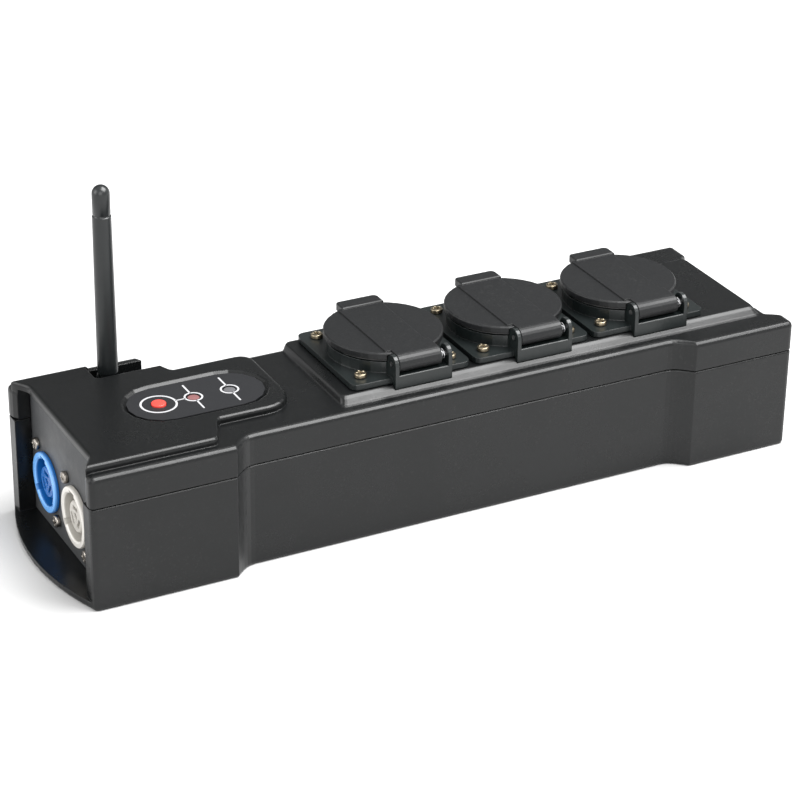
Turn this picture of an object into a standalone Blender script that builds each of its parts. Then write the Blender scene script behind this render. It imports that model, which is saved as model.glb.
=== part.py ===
"""Wireless DMX receiver with a three-way mains outlet, as separate sub-parts.

Metres, +Z up. The origin is the centre of the housing's footprint, on the surface it
stands on. +X runs from the end with the power connectors to the end with the DMX
output, and +Y from the hinge side to the side with the aerial.
"""

import math

import bmesh
import bpy
from mathutils import Matrix, Vector

for old in list(bpy.data.objects):
    bpy.data.objects.remove(old, do_unlink=True)

# Housing, outside
LENGTH = 0.3000            # rim of the near bay to rim of the far bay
WIDTH = 0.0852             # over the flared ends
EDGE_HEIGHT = 0.0548       # outer top edge of the cover
TONGUE = 0.0078            # how far the floor bulges out of the near bay
PARTING = 0.0420           # top of the lower housing
ZONE = 0.1117              # near rim to the first outlet; places in it keep their share of it
FLARE_NEAR = 0.0572        # end of the wide near end, front side, in the zone
FLARE_NEAR_BACK = 0.0520   # the same on the back side
FLARE_FAR = 0.0456         # length of the wide far end
SWEEP_FRONT = 0.0095       # length of a sweep from wide to narrow, front side
SWEEP_BACK = 0.0160        # the same on the back side
INSET_FRONT = 0.0060       # how far the narrow front face lies in
INSET_BACK = 0.0188        # how far the narrow back face lies in
CORNER = 0.0020            # upright corners
FOOT_ROUND = 0.0012        # round of the bottom edge
EDGE_ROUND = 0.0021        # round of the top edge
WALL = 0.0030
FLOOR = 0.0030
ROOF = 0.0025
GAP = 0.0003               # clearance between pieces that meet
PAST = 0.0050              # how far a cutter runs past the face that it opens
SINK = 0.0010              # how far a joined shape is sunk into the one that it joins

# Bays in both ends
BAY_SIDE = 0.0075          # thickness of the bays' side walls
BAY_ROOF = 0.0028          # thickness of the plateau over the near bay
NEAR_PANEL = 0.0065        # depth of the near panel behind the rim
FAR_PANEL = 0.0093         # depth of the far panel behind the rim
NEAR_HORN = 0.0035         # width of the cover's horns over the near bay
NEAR_SWEEP = 0.0100        # width of the sweep beside each near horn
NEAR_LIP = 0.0044          # how far the cover's near edge lies back
FAR_SWEEP = 0.0050         # width of the sweep beside each far horn
FAR_LIP = 0.0056           # how far the cover's far edge lies back beside the horns
FAR_STEP_Y = 0.0182        # second step of the far edge, from the sides
FAR_STEP_WIDE = 0.0012
FAR_STEP = 0.0019
FAR_SHORT = 0.0037         # how far the cover's back horn at the far end stops short
PANEL_THICK = 0.0015

# Raised areas of the cover
RAISE = 0.0030
PLATEAU_MARGIN = 0.00445   # plateau edge behind the housing's side
PLATEAU_WIDE = 0.0507      # end of the plateau's wide part, in the zone
PLATEAU_STEP = 0.0084      # length of its step in
PLATEAU_BEFORE = 0.0058    # narrow part past the controls' oval: front, back and end
PLATEAU_BEHIND = 0.0095
PLATEAU_PAST = 0.0040
PLATEAU_ROUND = 0.0120     # corners of its end, front and back
PLATEAU_ROUND_BACK = 0.0050
PLATEAU_EDGE = 0.0014
PLATFORM_BEFORE = 0.0047   # low platform under the outlets, before the first flange
PLATFORM_STOP = 0.0106     # its far end, from the far rim
PLATFORM_RAMP = 0.0045     # width of its front slope
PLATFORM_SIDES = 0.45      # spread of its end slopes beside the front one
PLATFORM_BACK = 0.0250     # its back edge, from the outlets' axes
PLATFORM_ROUND = 0.0020

# Outlets
OUTLETS = 3
FLANGE = 0.0503
PITCH = 0.0525
ROW_END = 0.05815          # centre of the last outlet, from the far rim
TURRET_SPACE = 0.00085     # clearance of the outlets' bodies from the back wall
FLANGE_THICK = 0.0022
FLANGE_ROUND = 0.0030
TURRET_R = 0.0220
TURRET_HIGH = 0.0045
BODY_DEEP = 0.0336         # body below the flange
RECESS_R = 0.0195
RECESS_DEEP = 0.0172
PIN_SPACING = 0.0190
PIN_HOLE_R = 0.0028
CHAMBER_R = 0.0038
CONTACT_R = 0.0035
CONTACT_WALL = 0.0009
RIB_WIDE = 0.0054
RIB_DEEP = 0.0017
CLIP_WIDE = 0.0042
CLIP_THICK = 0.0008
CLIP_LOW = 0.0020          # top of the earth clip below the turret's top
CLIP_BOW = 0.0018
CLIP_BEND = 0.0055         # the bow below the clip's top
CHAMBER_ROOF = 0.0030
CLIP_OUT = 0.0198          # outer face of the earth clip, from the outlet's axis
SCREW_SQUARE = 0.0380

# Outlet lids
LID_R = 0.0231
LID_THICK = 0.0026
LID_EDGE = 0.0005
BAND_WIDE = 0.0185
BAND_HIGH = 0.0005
SEAL_THICK = 0.0009
SEAL_R = 0.0215
SEAL_WIDE = 0.0018
SKIRT_R = 0.0172
SKIRT_WALL = 0.0014
SKIRT_DEEP = 0.0032
TAB_WIDE = 0.0178
TAB_START = 0.0195         # root and tip of the lift tab, from the outlet's axis
TAB_REACH = 0.0260
TAB_RISE = 0.0012          # its top above the lid's
TAB_THICK = 0.0031
TAB_SHIFT = 0.0012
TAB_ROUND = 0.0023
TAB_EDGE = 0.0004
HINGE_REACH = 0.02435      # hinge axis, from the outlet's axis
HINGE_R = 0.0036
HINGE_SHIFT = 0.0020       # middle of the knuckle, from the outlet's axis
KNUCKLE = 0.0178
NECK = 0.0040
SPRING_ROOM = 0.0028
EAR = 0.0016
EAR_BACK = 0.0030          # ear's foot past its round
HINGE_PIN_R = 0.0010
SPRING_R = 0.0019
SPRING_WIRE = 0.00025
SPRING_TURNS = 2
SPRING_PITCH = 0.00095

# Power connectors on the near panel
PORT_RING_R = 0.0119
PORT_BODY_R = 0.0112
PORT_PROUD = 0.0017
PORT_DEEP = 0.0240
PORT_EDGE = 0.0004
PORT_WELL_R = 0.0093
PORT_CORE_R = 0.0062
PORT_WELL = 0.0130
PORT_CORE_BACK = 0.0012
INLET_SIDE = 0.0155        # blue inlet, from the bay's back side wall
PORT_PITCH = 0.0296        # from the blue inlet to the pale outlet
PORT_Z = 0.0220
PORT_SCREW_Y = 0.0095
PORT_SCREW_Z = 0.0120
BLADE_WIDE = 0.0046
BLADE_THICK = 0.0015
BLADE_RING = 0.0034        # blade slots' distance from the connector's axis
BLADE_DEEP = 0.0120

# DMX output on the far panel
DMX_Z = 0.0265
DMX_FLANGE_Y = 0.0260
DMX_FLANGE_Z = 0.0310
DMX_FLANGE_THICK = 0.0020
DMX_FLANGE_ROUND = 0.0030
DMX_BODY_R = 0.0112
DMX_DEEP = 0.0200
DMX_WELL_R = 0.0096
DMX_CORE_R = 0.0080
DMX_WELL = 0.0120
DMX_PIN_RING = 0.0047
DMX_PIN_HOLE = 0.0013
DMX_PINS = 5
LATCH_ABOVE = 0.0012       # latch's slot above the well
LATCH_WIDE = 0.0070
LATCH_HIGH = 0.0026
LATCH_PROUD = 0.0016
LATCH_DEEP = 0.0060
LATCH_TRAVEL = 0.0012

# Controls on the plateau
OVAL_START = 0.02995       # middle of the oval's slope, in the zone
OVAL_END = 0.0863
OVAL_SHIFT = 0.0013        # its centre line, in front of the outlets' axes
OVAL_WIDE = 0.0293
OVAL_DEEP = 0.0012
OVAL_SLOPE = 0.0018
OVERLAY_THICK = 0.0004
BUTTON_X = 0.0431          # in the zone
BUTTON_R = 0.0028
BUTTON_PROUD = 0.0009
BUTTON_TRAVEL = 0.0006
BUTTON_EDGE = 0.0004
LAMP_X = (0.0571, 0.0718)  # in the zone
LAMP_R = 0.0023
COLLAR = 0.0010
COLLAR_THICK = 0.0011

# Circuit boards
BOARD_START = 0.0335       # receiver board, in the zone
BOARD_END = 0.0880
BOARD_WIDE = 0.0320
BOARD_DROP = 0.0093        # its underside below the cover's roof
BOARD_THICK = 0.0016
BOARD_POST = 0.0030        # posts' distance from the board's edges
CHIP = (0.50, 0.68)        # along the board, as shares of its length
CHIP_WIDE = 0.0100
CHIP_THICK = 0.0015
SOCKET = (0.78, 0.91)
SOCKET_WIDE = 0.0140
SOCKET_HIGH = 0.0060
DIODE = 0.0014             # lamps' half length, half width and height
DIODE_HALF = 0.0008
DIODE_HIGH = 0.0011
SWITCH = 0.0030            # switch's half width, its key's radius and height
KEY_R = 0.0017
KEY_HIGH = 0.0010
RADIO = (0.15, 0.46)
RADIO_SIDE = 0.0030        # radio module's near side, from the board's middle
RADIO_WIDE = 0.0090
RADIO_THICK = 0.0024
SUPPLY_START = 0.0600      # supply board, in the zone
SUPPLY_SHORT = 0.0010      # its far end before the bars
SUPPLY_SPACE = 0.0024      # its back edge before the narrow wall
SUPPLY_Z = 0.0063
COIL = 0.0170              # transformer's length and height
COIL_WIDE = 0.0190
COIL_IN = 0.0065           # its near end and back, from the supply board's edges
COIL_BEFORE = 0.0070
POST_R = 0.0026

# Aerial
CHANNEL_START = 0.0295     # channel for the folded aerial, in the zone
CHANNEL_OPEN = 0.0533      # where its back wall ends, in the zone
CHANNEL_WALL = 0.0044      # thickness of its back wall
CHANNEL_WIDE = 0.0128
CHANNEL_BED = 0.0037       # thickness of its floor
CHANNEL_ROUND = 0.0020
AERIAL_X = 0.0370          # in the zone
AERIAL_LONG = 0.0808       # from the knee's axis to the tip
AERIAL_LOW_R = 0.0040
AERIAL_TIP_R = 0.0034
AERIAL_GROOVE = 0.0115     # groove's distance from the tip
GROOVE_DEEP = 0.0003
KNEE_R = 0.0038
TONGUE_HALF = 0.0013       # half the thickness of the whip's tongue
BASE_R = 0.0040
BASE_THICK = 0.0022
JACK_R = 0.0030
JACK_DEEP = 0.0080
JACK_NUT_R = 0.0042
JACK_NUT = 0.0022
JACK_BORE = 0.0012
KNEE_PIN_R = 0.0009

# Fasteners and wiring
M3_R = 0.0015
M3_HEAD_R = 0.0026
M3_HEAD = 0.0017
CONNECTOR_SCREW = 0.0060
OUTLET_SCREW = 0.0040      # how far the outlets' screws reach into the case
PEG_R = 0.0010
PEG_PAST = 0.0010
PILLAR_R = 0.0040
PILLAR_NEAR = 0.0460       # near pillars, in the zone
PILLAR_FAR = 0.0200        # far pillars, from the far rim
PILLAR_SPACE = 0.0015      # clearance of the pillars from the walls
COUNTERBORE = 0.0040
BAR_WIDE = 0.0050
BAR_THICK = 0.0012
BAR_SIDE = 0.0065          # bars' distance from the outlets' centre line
BAR_BEFORE = 0.0068        # bars' start before the first outlet's body
BAR_PAST = 0.0010          # bars' end past their last lug
RIB = 0.0015               # half the thickness of the ribs under the bars
LUG = 0.0024
EARTH_SIDE = 0.0135
CABLE_R = 0.0030
CABLE_SPACE = 0.0015       # clearance of the cable from the supply board
CABLE_BEND = 0.0060        # steps of the cable's bends
CABLE_DROP = 0.0060
LEAD_R = 0.0010
LEAD_STEP = 0.0025         # steps of the aerial lead's bends

# Derived places
NEAR = (TONGUE - LENGTH) / 2
FAR = NEAR + LENGTH
FRONT = -WIDTH / 2
BACK = WIDTH / 2
SIDE = WIDTH / 2 - BAY_SIDE
INNER_BACK = BACK - INSET_BACK - WALL
COVER_Z = PARTING + GAP
TOP = EDGE_HEIGHT + RAISE
ROOF_Z = EDGE_HEIGHT - ROOF
BAY_ROOF_Z = TOP - BAY_ROOF
OUTLET_XS = [FAR - ROW_END - PITCH * i for i in range(OUTLETS - 1, -1, -1)]
OUTLET_CY = INNER_BACK - TURRET_SPACE - TURRET_R
STRETCH = (OUTLET_XS[0] - FLANGE / 2 - NEAR) / ZONE
PANEL_X = NEAR + NEAR_PANEL + GAP
FAR_PANEL_X = FAR - FAR_PANEL - GAP
PANEL_LOW = FLOOR + GAP
PANEL_HIGH = ROOF_Z - GAP
INLET_CY = BACK - BAY_SIDE - INLET_SIDE
OUTPUT_CY = INLET_CY - PORT_PITCH
PORT_BACK = PANEL_X - GAP - PORT_PROUD + PORT_DEEP
FLARE_X = NEAR + FLARE_NEAR * STRETCH
FLARE_BACK_X = NEAR + FLARE_NEAR_BACK * STRETCH
FLANGE_Z = TOP + GAP
FLANGE_TOP = FLANGE_Z + FLANGE_THICK
TURRET_TOP = FLANGE_TOP + TURRET_HIGH
BODY_Z = FLANGE_Z - BODY_DEEP
RECESS_Z = TURRET_TOP - RECESS_DEEP
LID_Z = TURRET_TOP + SEAL_THICK + 2 * GAP
LID_TOP = LID_Z + LID_THICK
HINGE_CY = OUTLET_CY - HINGE_REACH
HINGE_Z = LID_TOP + BAND_HIGH - HINGE_R
OVAL_XS = (NEAR + OVAL_START * STRETCH, NEAR + OVAL_END * STRETCH)
OVAL_CY = OUTLET_CY - OVAL_SHIFT
OVAL_FLOOR = TOP - OVAL_DEEP
OVERLAY_Z = OVAL_FLOOR + GAP
BUTTON_CX = NEAR + BUTTON_X * STRETCH
LAMP_XS = [NEAR + x * STRETCH for x in LAMP_X]
BOARD_XS = (NEAR + BOARD_START * STRETCH, NEAR + BOARD_END * STRETCH)
BOARD_Z = ROOF_Z - BOARD_DROP
BOARD_TOP = BOARD_Z + BOARD_THICK
CHANNEL_XS = (NEAR + CHANNEL_START * STRETCH, NEAR + CHANNEL_OPEN * STRETCH)
CHANNEL_YS = (BACK - CHANNEL_WALL - CHANNEL_WIDE, BACK - CHANNEL_WALL)
CHANNEL_Z = COVER_Z + CHANNEL_BED
AERIAL_CX = NEAR + AERIAL_X * STRETCH
AERIAL_CY = sum(CHANNEL_YS) / 2
KNEE_Z = CHANNEL_Z + GAP + BASE_THICK + KNEE_R
AERIAL_TOP = KNEE_Z + AERIAL_LONG
BAR_Z = BODY_Z - 4 * GAP - 2 * BAR_THICK
BAR_START = OUTLET_XS[0] - TURRET_R - BAR_BEFORE
CABLE_CY = FRONT + WALL + PILLAR_SPACE + 2 * PILLAR_R + 2 * GAP + CABLE_R
SUPPLY_XS = (NEAR + SUPPLY_START * STRETCH, BAR_START - SUPPLY_SHORT)
SUPPLY_YS = (CABLE_CY + CABLE_R + CABLE_SPACE, INNER_BACK - SUPPLY_SPACE)
SCREW_SIGNS = ((-1, -1), (1, -1), (-1, 1), (1, 1))


# Materials
def material(name, colour, roughness, metallic=0.0):
    """A Principled material with the part's colour."""
    made = bpy.data.materials.new(name)
    made.use_nodes = True
    shader = made.node_tree.nodes["Principled BSDF"]
    shader.inputs["Base Color"].default_value = (*colour, 1.0)
    shader.inputs["Roughness"].default_value = roughness
    shader.inputs["Metallic"].default_value = metallic
    made.diffuse_color = (*colour, 1.0)
    return made


BLACK = material("black_plastic", (0.030, 0.031, 0.033), 0.42)
DARK = material("dark_plastic", (0.022, 0.022, 0.024), 0.50)
PANEL_GREY = material("panel_grey", (0.16, 0.165, 0.17), 0.55, 0.3)
BLUE = material("blue_plastic", (0.06, 0.24, 0.72), 0.35)
GREY = material("pale_plastic", (0.74, 0.73, 0.69), 0.40)
RED = material("red_plastic", (0.80, 0.06, 0.04), 0.35)
OVERLAY = material("overlay_film", (0.035, 0.036, 0.038), 0.45)
LAMP = material("lamp_lens", (0.32, 0.20, 0.20), 0.15)
BOARD = material("board_green", (0.03, 0.18, 0.07), 0.50)
SHIELD = material("shield_steel", (0.62, 0.62, 0.63), 0.30, 1.0)
NICKEL = material("nickel", (0.66, 0.64, 0.60), 0.25, 1.0)
BRASS = material("brass", (0.72, 0.55, 0.25), 0.30, 1.0)
COPPER = material("copper", (0.76, 0.42, 0.25), 0.30, 1.0)
STEEL = material("spring_steel", (0.55, 0.55, 0.56), 0.28, 1.0)
RUBBER = material("seal_rubber", (0.05, 0.05, 0.05), 0.70)
WHIP = material("aerial_rubber", (0.020, 0.021, 0.022), 0.50)
FERRITE = material("transformer_tape", (0.75, 0.62, 0.20), 0.50)
CABLE = material("lead_black", (0.03, 0.03, 0.03), 0.55)


# Mesh building
def add_rings(bm, rings, cap_low=True, cap_high=True, closed=False):
    """Joins equal rings of points by quads, with a cap at each end."""
    made = [[bm.verts.new(p) for p in ring] for ring in rings]
    pairs = list(zip(made, made[1:]))
    if closed:
        pairs.append((made[-1], made[0]))
    for low, high in pairs:
        n = len(low)
        for i in range(n):
            j = (i + 1) % n
            bm.faces.new((low[i], low[j], high[j], high[i]))
    if cap_low and not closed:
        bm.faces.new(list(reversed(made[0])))
    if cap_high and not closed:
        bm.faces.new(made[-1])


def place(axis, along, a, b):
    """A point from its place along an axis and its two places across it."""
    if axis == "X":
        return (along, a, b)
    if axis == "Y":
        return (a, along, b)
    return (a, b, along)


def add_prism(bm, outline, low, high, axis="Z"):
    """A straight prism: the outline runs from low to high along an axis."""
    add_rings(bm, [[place(axis, low, a, b) for a, b in outline],
                   [place(axis, high, a, b) for a, b in outline]])


def add_box(bm, x, y, z):
    """A box from three (low, high) pairs."""
    add_prism(bm, [(x[0], y[0]), (x[1], y[0]), (x[1], y[1]), (x[0], y[1])], z[0], z[1])


def circle(a, b, radius, count, start=0.0):
    """Points of a circle round (a, b)."""
    turn = 2 * math.pi / count
    return [(a + radius * math.cos(start + turn * i), b + radius * math.sin(start + turn * i))
            for i in range(count)]


def add_cylinder(bm, a, b, radius, low, high, axis="Z", count=16):
    """A cylinder along an axis, centred on (a, b) across it."""
    add_prism(bm, circle(a, b, radius, count, math.pi / count), low, high, axis)


def add_turned(bm, profile, a, b, axis="Z", count=24, closed=False):
    """A turned shape: profile holds (radius, place along the axis) pairs."""
    rings = [[place(axis, along, *p) for p in circle(a, b, radius, count, math.pi / count)]
             for radius, along in profile]
    add_rings(bm, rings, closed=closed)


def arc(a, b, radius, start, stop, count):
    """Points of an arc in degrees, both ends included."""
    return [(a + radius * math.cos(math.radians(start + (stop - start) * i / count)),
             b + radius * math.sin(math.radians(start + (stop - start) * i / count)))
            for i in range(count + 1)]


def rounded_box(x, y, radius, count=3):
    """Outline of a rectangle with round corners, anticlockwise."""
    return (arc(x[0] + radius, y[0] + radius, radius, 180, 270, count)
            + arc(x[1] - radius, y[0] + radius, radius, 270, 360, count)
            + arc(x[1] - radius, y[1] - radius, radius, 0, 90, count)
            + arc(x[0] + radius, y[1] - radius, radius, 90, 180, count))


def stadium(x, y_mid, wide, grow=0.0, count=8):
    """Outline of a slot with half-round ends, along X."""
    r = wide / 2
    return (arc(x[0] + r, y_mid, r + grow, 90, 270, count)
            + arc(x[1] - r, y_mid, r + grow, 270, 450, count))


def sweep(start, stop, count=6):
    """Points of a half-cosine sweep between two points, ends left out."""
    points = []
    for i in range(1, count):
        t = i / count
        points.append((start[0] + (stop[0] - start[0]) * t,
                       start[1] + (stop[1] - start[1]) * (1 - math.cos(math.pi * t)) / 2))
    return points


def shape(name, bm, look=None):
    """Makes the mesh an object with its faces outward; with no look it is a guide."""
    bmesh.ops.recalc_face_normals(bm, faces=bm.faces[:])
    mesh = bpy.data.meshes.new(name)
    bm.to_mesh(mesh)
    bm.free()
    made = bpy.data.objects.new(name, mesh)
    bpy.context.scene.collection.objects.link(made)
    if look:
        mesh.materials.append(look)
        mesh.shade_smooth()
        mesh.set_sharp_from_angle(angle=math.radians(35))
    else:
        made.hide_render = True
        made.display_type = "WIRE"
    return made


def combine(target, operation, build, label):
    """Adds a live Boolean whose operand is made by build."""
    bm = bmesh.new()
    build(bm)
    guide = shape(target.name + "." + label, bm)
    step = target.modifiers.new(label, "BOOLEAN")
    step.operation = operation
    step.solver = "EXACT"
    step.object = guide
    return guide


def cut(target, build, label="cut"):
    """Takes a shape out of an object."""
    return combine(target, "DIFFERENCE", build, label)


def fuse(target, build, label="join"):
    """Adds a shape to an object."""
    return combine(target, "UNION", build, label)


def solid(name, build, look):
    """An object from a function that fills a mesh."""
    bm = bmesh.new()
    build(bm)
    return shape(name, bm, look)


def set_origin(item, point):
    """Moves an object's origin to a point on its joint's axis."""
    spot = Vector(point)
    for other in bpy.data.objects:
        if other.name.startswith(item.name + "."):
            other.data.transform(Matrix.Translation(-spot))
            other.parent = item
    item.data.transform(Matrix.Translation(-spot))
    item.location = spot


# Housing outline
def stations():
    """Places along X where the side faces bend."""
    def run(start, length, count):
        return [start + length * i / count for i in range(count + 1)]
    far = FAR - FLARE_FAR
    front = run(FLARE_X, SWEEP_FRONT, 5) + run(far - SWEEP_FRONT, SWEEP_FRONT, 5)
    back = run(FLARE_BACK_X, SWEEP_BACK, 6) + run(far - SWEEP_BACK, SWEEP_BACK, 6)
    return front, back


def drawn_in(x, start, length, depth):
    """Depth of a side face at x: nothing on both flares, all of it between.

    A quarter of a sine wave, so it leaves the flare at a corner and meets the middle smoothly.
    """
    near = min(max((x - start) / length, 0.0), 1.0)
    far = min(max((FAR - FLARE_FAR - x) / length, 0.0), 1.0)
    return depth * math.sin(math.pi / 2 * min(near, far))


def front_face(x):
    """Y of the front face."""
    return FRONT + drawn_in(x, FLARE_X, SWEEP_FRONT, INSET_FRONT)


def back_face(x):
    """Y of the back face."""
    return BACK - drawn_in(x, FLARE_BACK_X, SWEEP_BACK, INSET_BACK)


def body_plan(inset, near_end=(), far_end=(), far_short=0.0):
    """The housing's outline from above, anticlockwise and drawn in by inset.

    The end lists run across the ends, from front to back at the far end and from
    back to front at the near end. The far back corner stops short by far_short.
    """
    r = max(CORNER - inset, 0.0002)
    x0, x1 = NEAR + inset, FAR - inset
    y0, y1 = FRONT + inset, BACK - inset
    front_xs, back_xs = stations()
    points = arc(x0 + r, y0 + r, r, 180, 270, 3)
    points += [(x, front_face(x) + inset) for x in front_xs]
    points += arc(x1 - r, y0 + r, r, 270, 360, 3)
    points += [(min(x, FAR - far_short if y > 0 else FAR) - inset, y) for x, y in far_end]
    points += arc(x1 - far_short - r, y1 - r, r, 0, 90, 3)
    points += [(x, back_face(x) - inset) for x in reversed(back_xs)]
    points += arc(x0 + r, y1 - r, r, 90, 180, 3)
    points += [(x + inset, y) for x, y in near_end]
    return points


def tongue_edge():
    """The floor's bulge at the near end, a shallow arc from back to front."""
    half = WIDTH / 2 - CORNER
    steps = 12
    points = []
    for i in range(1, steps):
        t = 1 - 2 * i / steps
        points.append((NEAR - TONGUE * (1 - t * t), t * half))
    return points


NEAR_STAGES = ((NEAR_HORN, NEAR_SWEEP, NEAR_LIP),)
FAR_STAGES = ((BAY_SIDE, FAR_SWEEP, FAR_LIP), (FAR_STEP_Y, FAR_STEP_WIDE, FAR_STEP))


def lip_depth(side, stages):
    """How far the cover's edge lies back from the rim, at a distance from the side."""
    depth = 0.0
    for start, wide, more in stages:
        t = min(max((side - start) / wide, 0.0), 1.0)
        depth += more * (1 - math.cos(math.pi * t)) / 2
    return depth


def lip_edge(x_rim, stages, count=5):
    """The cover's edge over a bay, from front to back, in sweeps behind the horns."""
    points = []
    for start, wide, _ in stages:
        for i in range(count + 1):
            side = start + wide * i / count
            points.append((x_rim - math.copysign(lip_depth(side, stages), x_rim), FRONT + side))
    return points + [(x, -y) for x, y in reversed(points)]


def body_rings(levels, near_end=(), far_end=()):
    """Rings of the housing's outline from (height, inset) pairs."""
    return [[(x, y, z) for x, y in body_plan(inset, near_end, far_end)] for z, inset in levels]


def round_levels(base, height, radius, up, count=2):
    """(height, inset) pairs of a rounded edge; up is 1 for a top edge and -1 for a bottom one."""
    steps = range(count + 1) if up > 0 else range(count, -1, -1)
    levels = []
    for i in steps:
        angle = math.pi / 2 * i / count
        levels.append((height - up * radius * (1 - math.sin(angle)), base + radius * (1 - math.cos(angle))))
    return levels


def cavity_plan(x0, x1, back_inner):
    """The housing's inside from above, one wall in from the outline."""
    front_xs, back_xs = stations()
    points = [(x0, FRONT + WALL)]
    points += [(x, front_face(x) + WALL) for x in front_xs if x0 < x < x1]
    points += [(x1, FRONT + WALL), (x1, BACK - WALL)]
    points += back_inner(back_xs)
    points += [(x0, BACK - WALL)]
    return points


def lower_back_inner(xs):
    """Back of the lower housing's inside, from the far end to the near end."""
    return [(x, back_face(x) - WALL) for x in reversed(xs)]


def cover_back_inner(xs):
    """The same in the cover, which is solid under the aerial's channel."""
    points = [(x, back_face(x) - WALL) for x in reversed(xs) if x > OUTLET_XS[0]]
    corner = CHANNEL_XS[0] - WALL
    return points + [(corner, INNER_BACK), (corner, BACK - WALL)]


def pillar_spots():
    """Places of the four case screws."""
    near_x = NEAR + PILLAR_NEAR * STRETCH
    far_x = FAR - PILLAR_FAR
    edge = WALL + PILLAR_R + PILLAR_SPACE
    behind = CHANNEL_YS[0] - WALL - PILLAR_R - 2 * GAP
    return [(near_x, FRONT + edge), (near_x, behind), (far_x, FRONT + edge), (far_x, BACK - edge)]


def bay_outline(x_rim, outward, depth):
    """Plan of a bay: the open space past the rim and the pocket between the side walls."""
    past = x_rim + outward * (TONGUE + PAST)
    inner = x_rim - outward * (depth + GAP)
    wide = WIDTH / 2 + PAST
    return [(past, -wide), (x_rim, -wide), (x_rim, -SIDE), (inner, -SIDE),
            (inner, SIDE), (x_rim, SIDE), (x_rim, wide), (past, wide)]


# Lower housing
def lower_body(bm):
    levels = round_levels(0.0, 0.0, FOOT_ROUND, -1)
    levels += [(PARTING - 0.0005, 0.0), (PARTING, 0.0004)]
    add_rings(bm, body_rings(levels, near_end=tongue_edge()))


def lower_cavity(bm):
    plan = cavity_plan(NEAR + NEAR_PANEL, FAR - FAR_PANEL, lower_back_inner)
    add_prism(bm, plan, FLOOR, PARTING + PAST)


def lower_bays(bm):
    add_prism(bm, bay_outline(NEAR, -1, NEAR_PANEL), FLOOR, PARTING + 2 * PAST)
    add_box(bm, (FAR - FAR_PANEL - GAP, FAR + PAST), (-SIDE, SIDE), (FLOOR, PARTING + 2 * PAST))


def supply_posts():
    """Places of the supply board's screws."""
    xs = (SUPPLY_XS[0] + BOARD_POST, SUPPLY_XS[1] - BOARD_POST)
    ys = (SUPPLY_YS[0] + BOARD_POST, SUPPLY_YS[1] - BOARD_POST)
    return [(x, y) for x in xs for y in ys]


def lower_supports(bm):
    """Pillars, the supply board's pegs, and ribs under the bars."""
    for x, y in pillar_spots():
        add_cylinder(bm, x, y, PILLAR_R, FLOOR - SINK, PARTING, count=12)
    for x, y in supply_posts():
        add_turned(bm, [(POST_R, FLOOR - SINK), (POST_R, SUPPLY_Z - GAP), (PEG_R, SUPPLY_Z - GAP),
                        (PEG_R, SUPPLY_Z + BOARD_THICK + PEG_PAST)], x, y, "Z", 8)
    for x in [BAR_START + 2 * RIB] + OUTLET_XS:
        add_box(bm, (x - RIB, x + RIB),
                (OUTLET_CY - BAR_SIDE - BAR_WIDE, OUTLET_CY + BAR_SIDE + BAR_WIDE),
                (FLOOR - SINK, BAR_Z - GAP))


def lower_holes(bm):
    for x, y in pillar_spots():
        add_cylinder(bm, x, y, M3_R + GAP, COUNTERBORE / 2, PARTING + PAST, count=8)


def lower_counterbores(bm):
    for x, y in pillar_spots():
        add_cylinder(bm, x, y, M3_HEAD_R + 2 * GAP, -PAST, COUNTERBORE, count=12)


def make_lower_housing():
    housing = solid("lower_housing", lower_body, BLACK)
    cut(housing, lower_cavity, "cavity")
    cut(housing, lower_bays, "bays")
    fuse(housing, lower_supports, "supports")
    cut(housing, lower_holes, "holes")
    cut(housing, lower_counterbores, "counterbores")
    return housing


# Top cover
def cover_body(bm):
    levels = [(COVER_Z, 0.0003), (COVER_Z + 0.0004, 0.0)]
    levels += round_levels(0.0, EDGE_HEIGHT, EDGE_ROUND, 1, 3)
    far_lip = lip_edge(FAR, FAR_STAGES)
    near_lip = list(reversed(lip_edge(NEAR, NEAR_STAGES)))
    add_rings(bm, [[(x, y, z) for x, y in body_plan(inset, near_lip, far_lip, FAR_SHORT)]
                   for z, inset in levels])


def plateau_plan(inset):
    """The raised plateau's outline from above, anticlockwise."""
    m = PLATEAU_MARGIN + inset
    wide_x = NEAR + PLATEAU_WIDE * STRETCH
    front = OVAL_CY - OVAL_WIDE / 2 - PLATEAU_BEFORE + inset
    back = OVAL_CY + OVAL_WIDE / 2 + PLATEAU_BEHIND - inset
    end = OVAL_XS[1] + PLATEAU_PAST - inset
    r, r_back = PLATEAU_ROUND, PLATEAU_ROUND_BACK
    sweep_end = NEAR_HORN + NEAR_SWEEP
    sides = [m + (sweep_end - m) * i / 8 for i in range(9)]
    lip = [(NEAR + lip_depth(side, NEAR_STAGES) + GAP + inset, FRONT + side) for side in sides]
    step = (wide_x + PLATEAU_STEP, front)
    step_back = (wide_x + PLATEAU_STEP, back)
    points = [(wide_x, FRONT + m)]
    points += sweep((wide_x, FRONT + m), step)
    points += [step]
    points += arc(end - r, front + r, r, 270, 360, 6)
    points += arc(end - r_back, back - r_back, r_back, 0, 90, 4)
    points += [step_back]
    points += sweep(step_back, (wide_x, BACK - m))
    points += [(wide_x, BACK - m)]
    return points + [(x, -y) for x, y in lip] + list(reversed(lip))


def cover_plateau(bm):
    levels = [(EDGE_HEIGHT - SINK, 0.0)] + round_levels(0.0, TOP, PLATEAU_EDGE, 1, 3)
    add_rings(bm, [[(x, y, z) for x, y in plateau_plan(inset)] for z, inset in levels])


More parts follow.
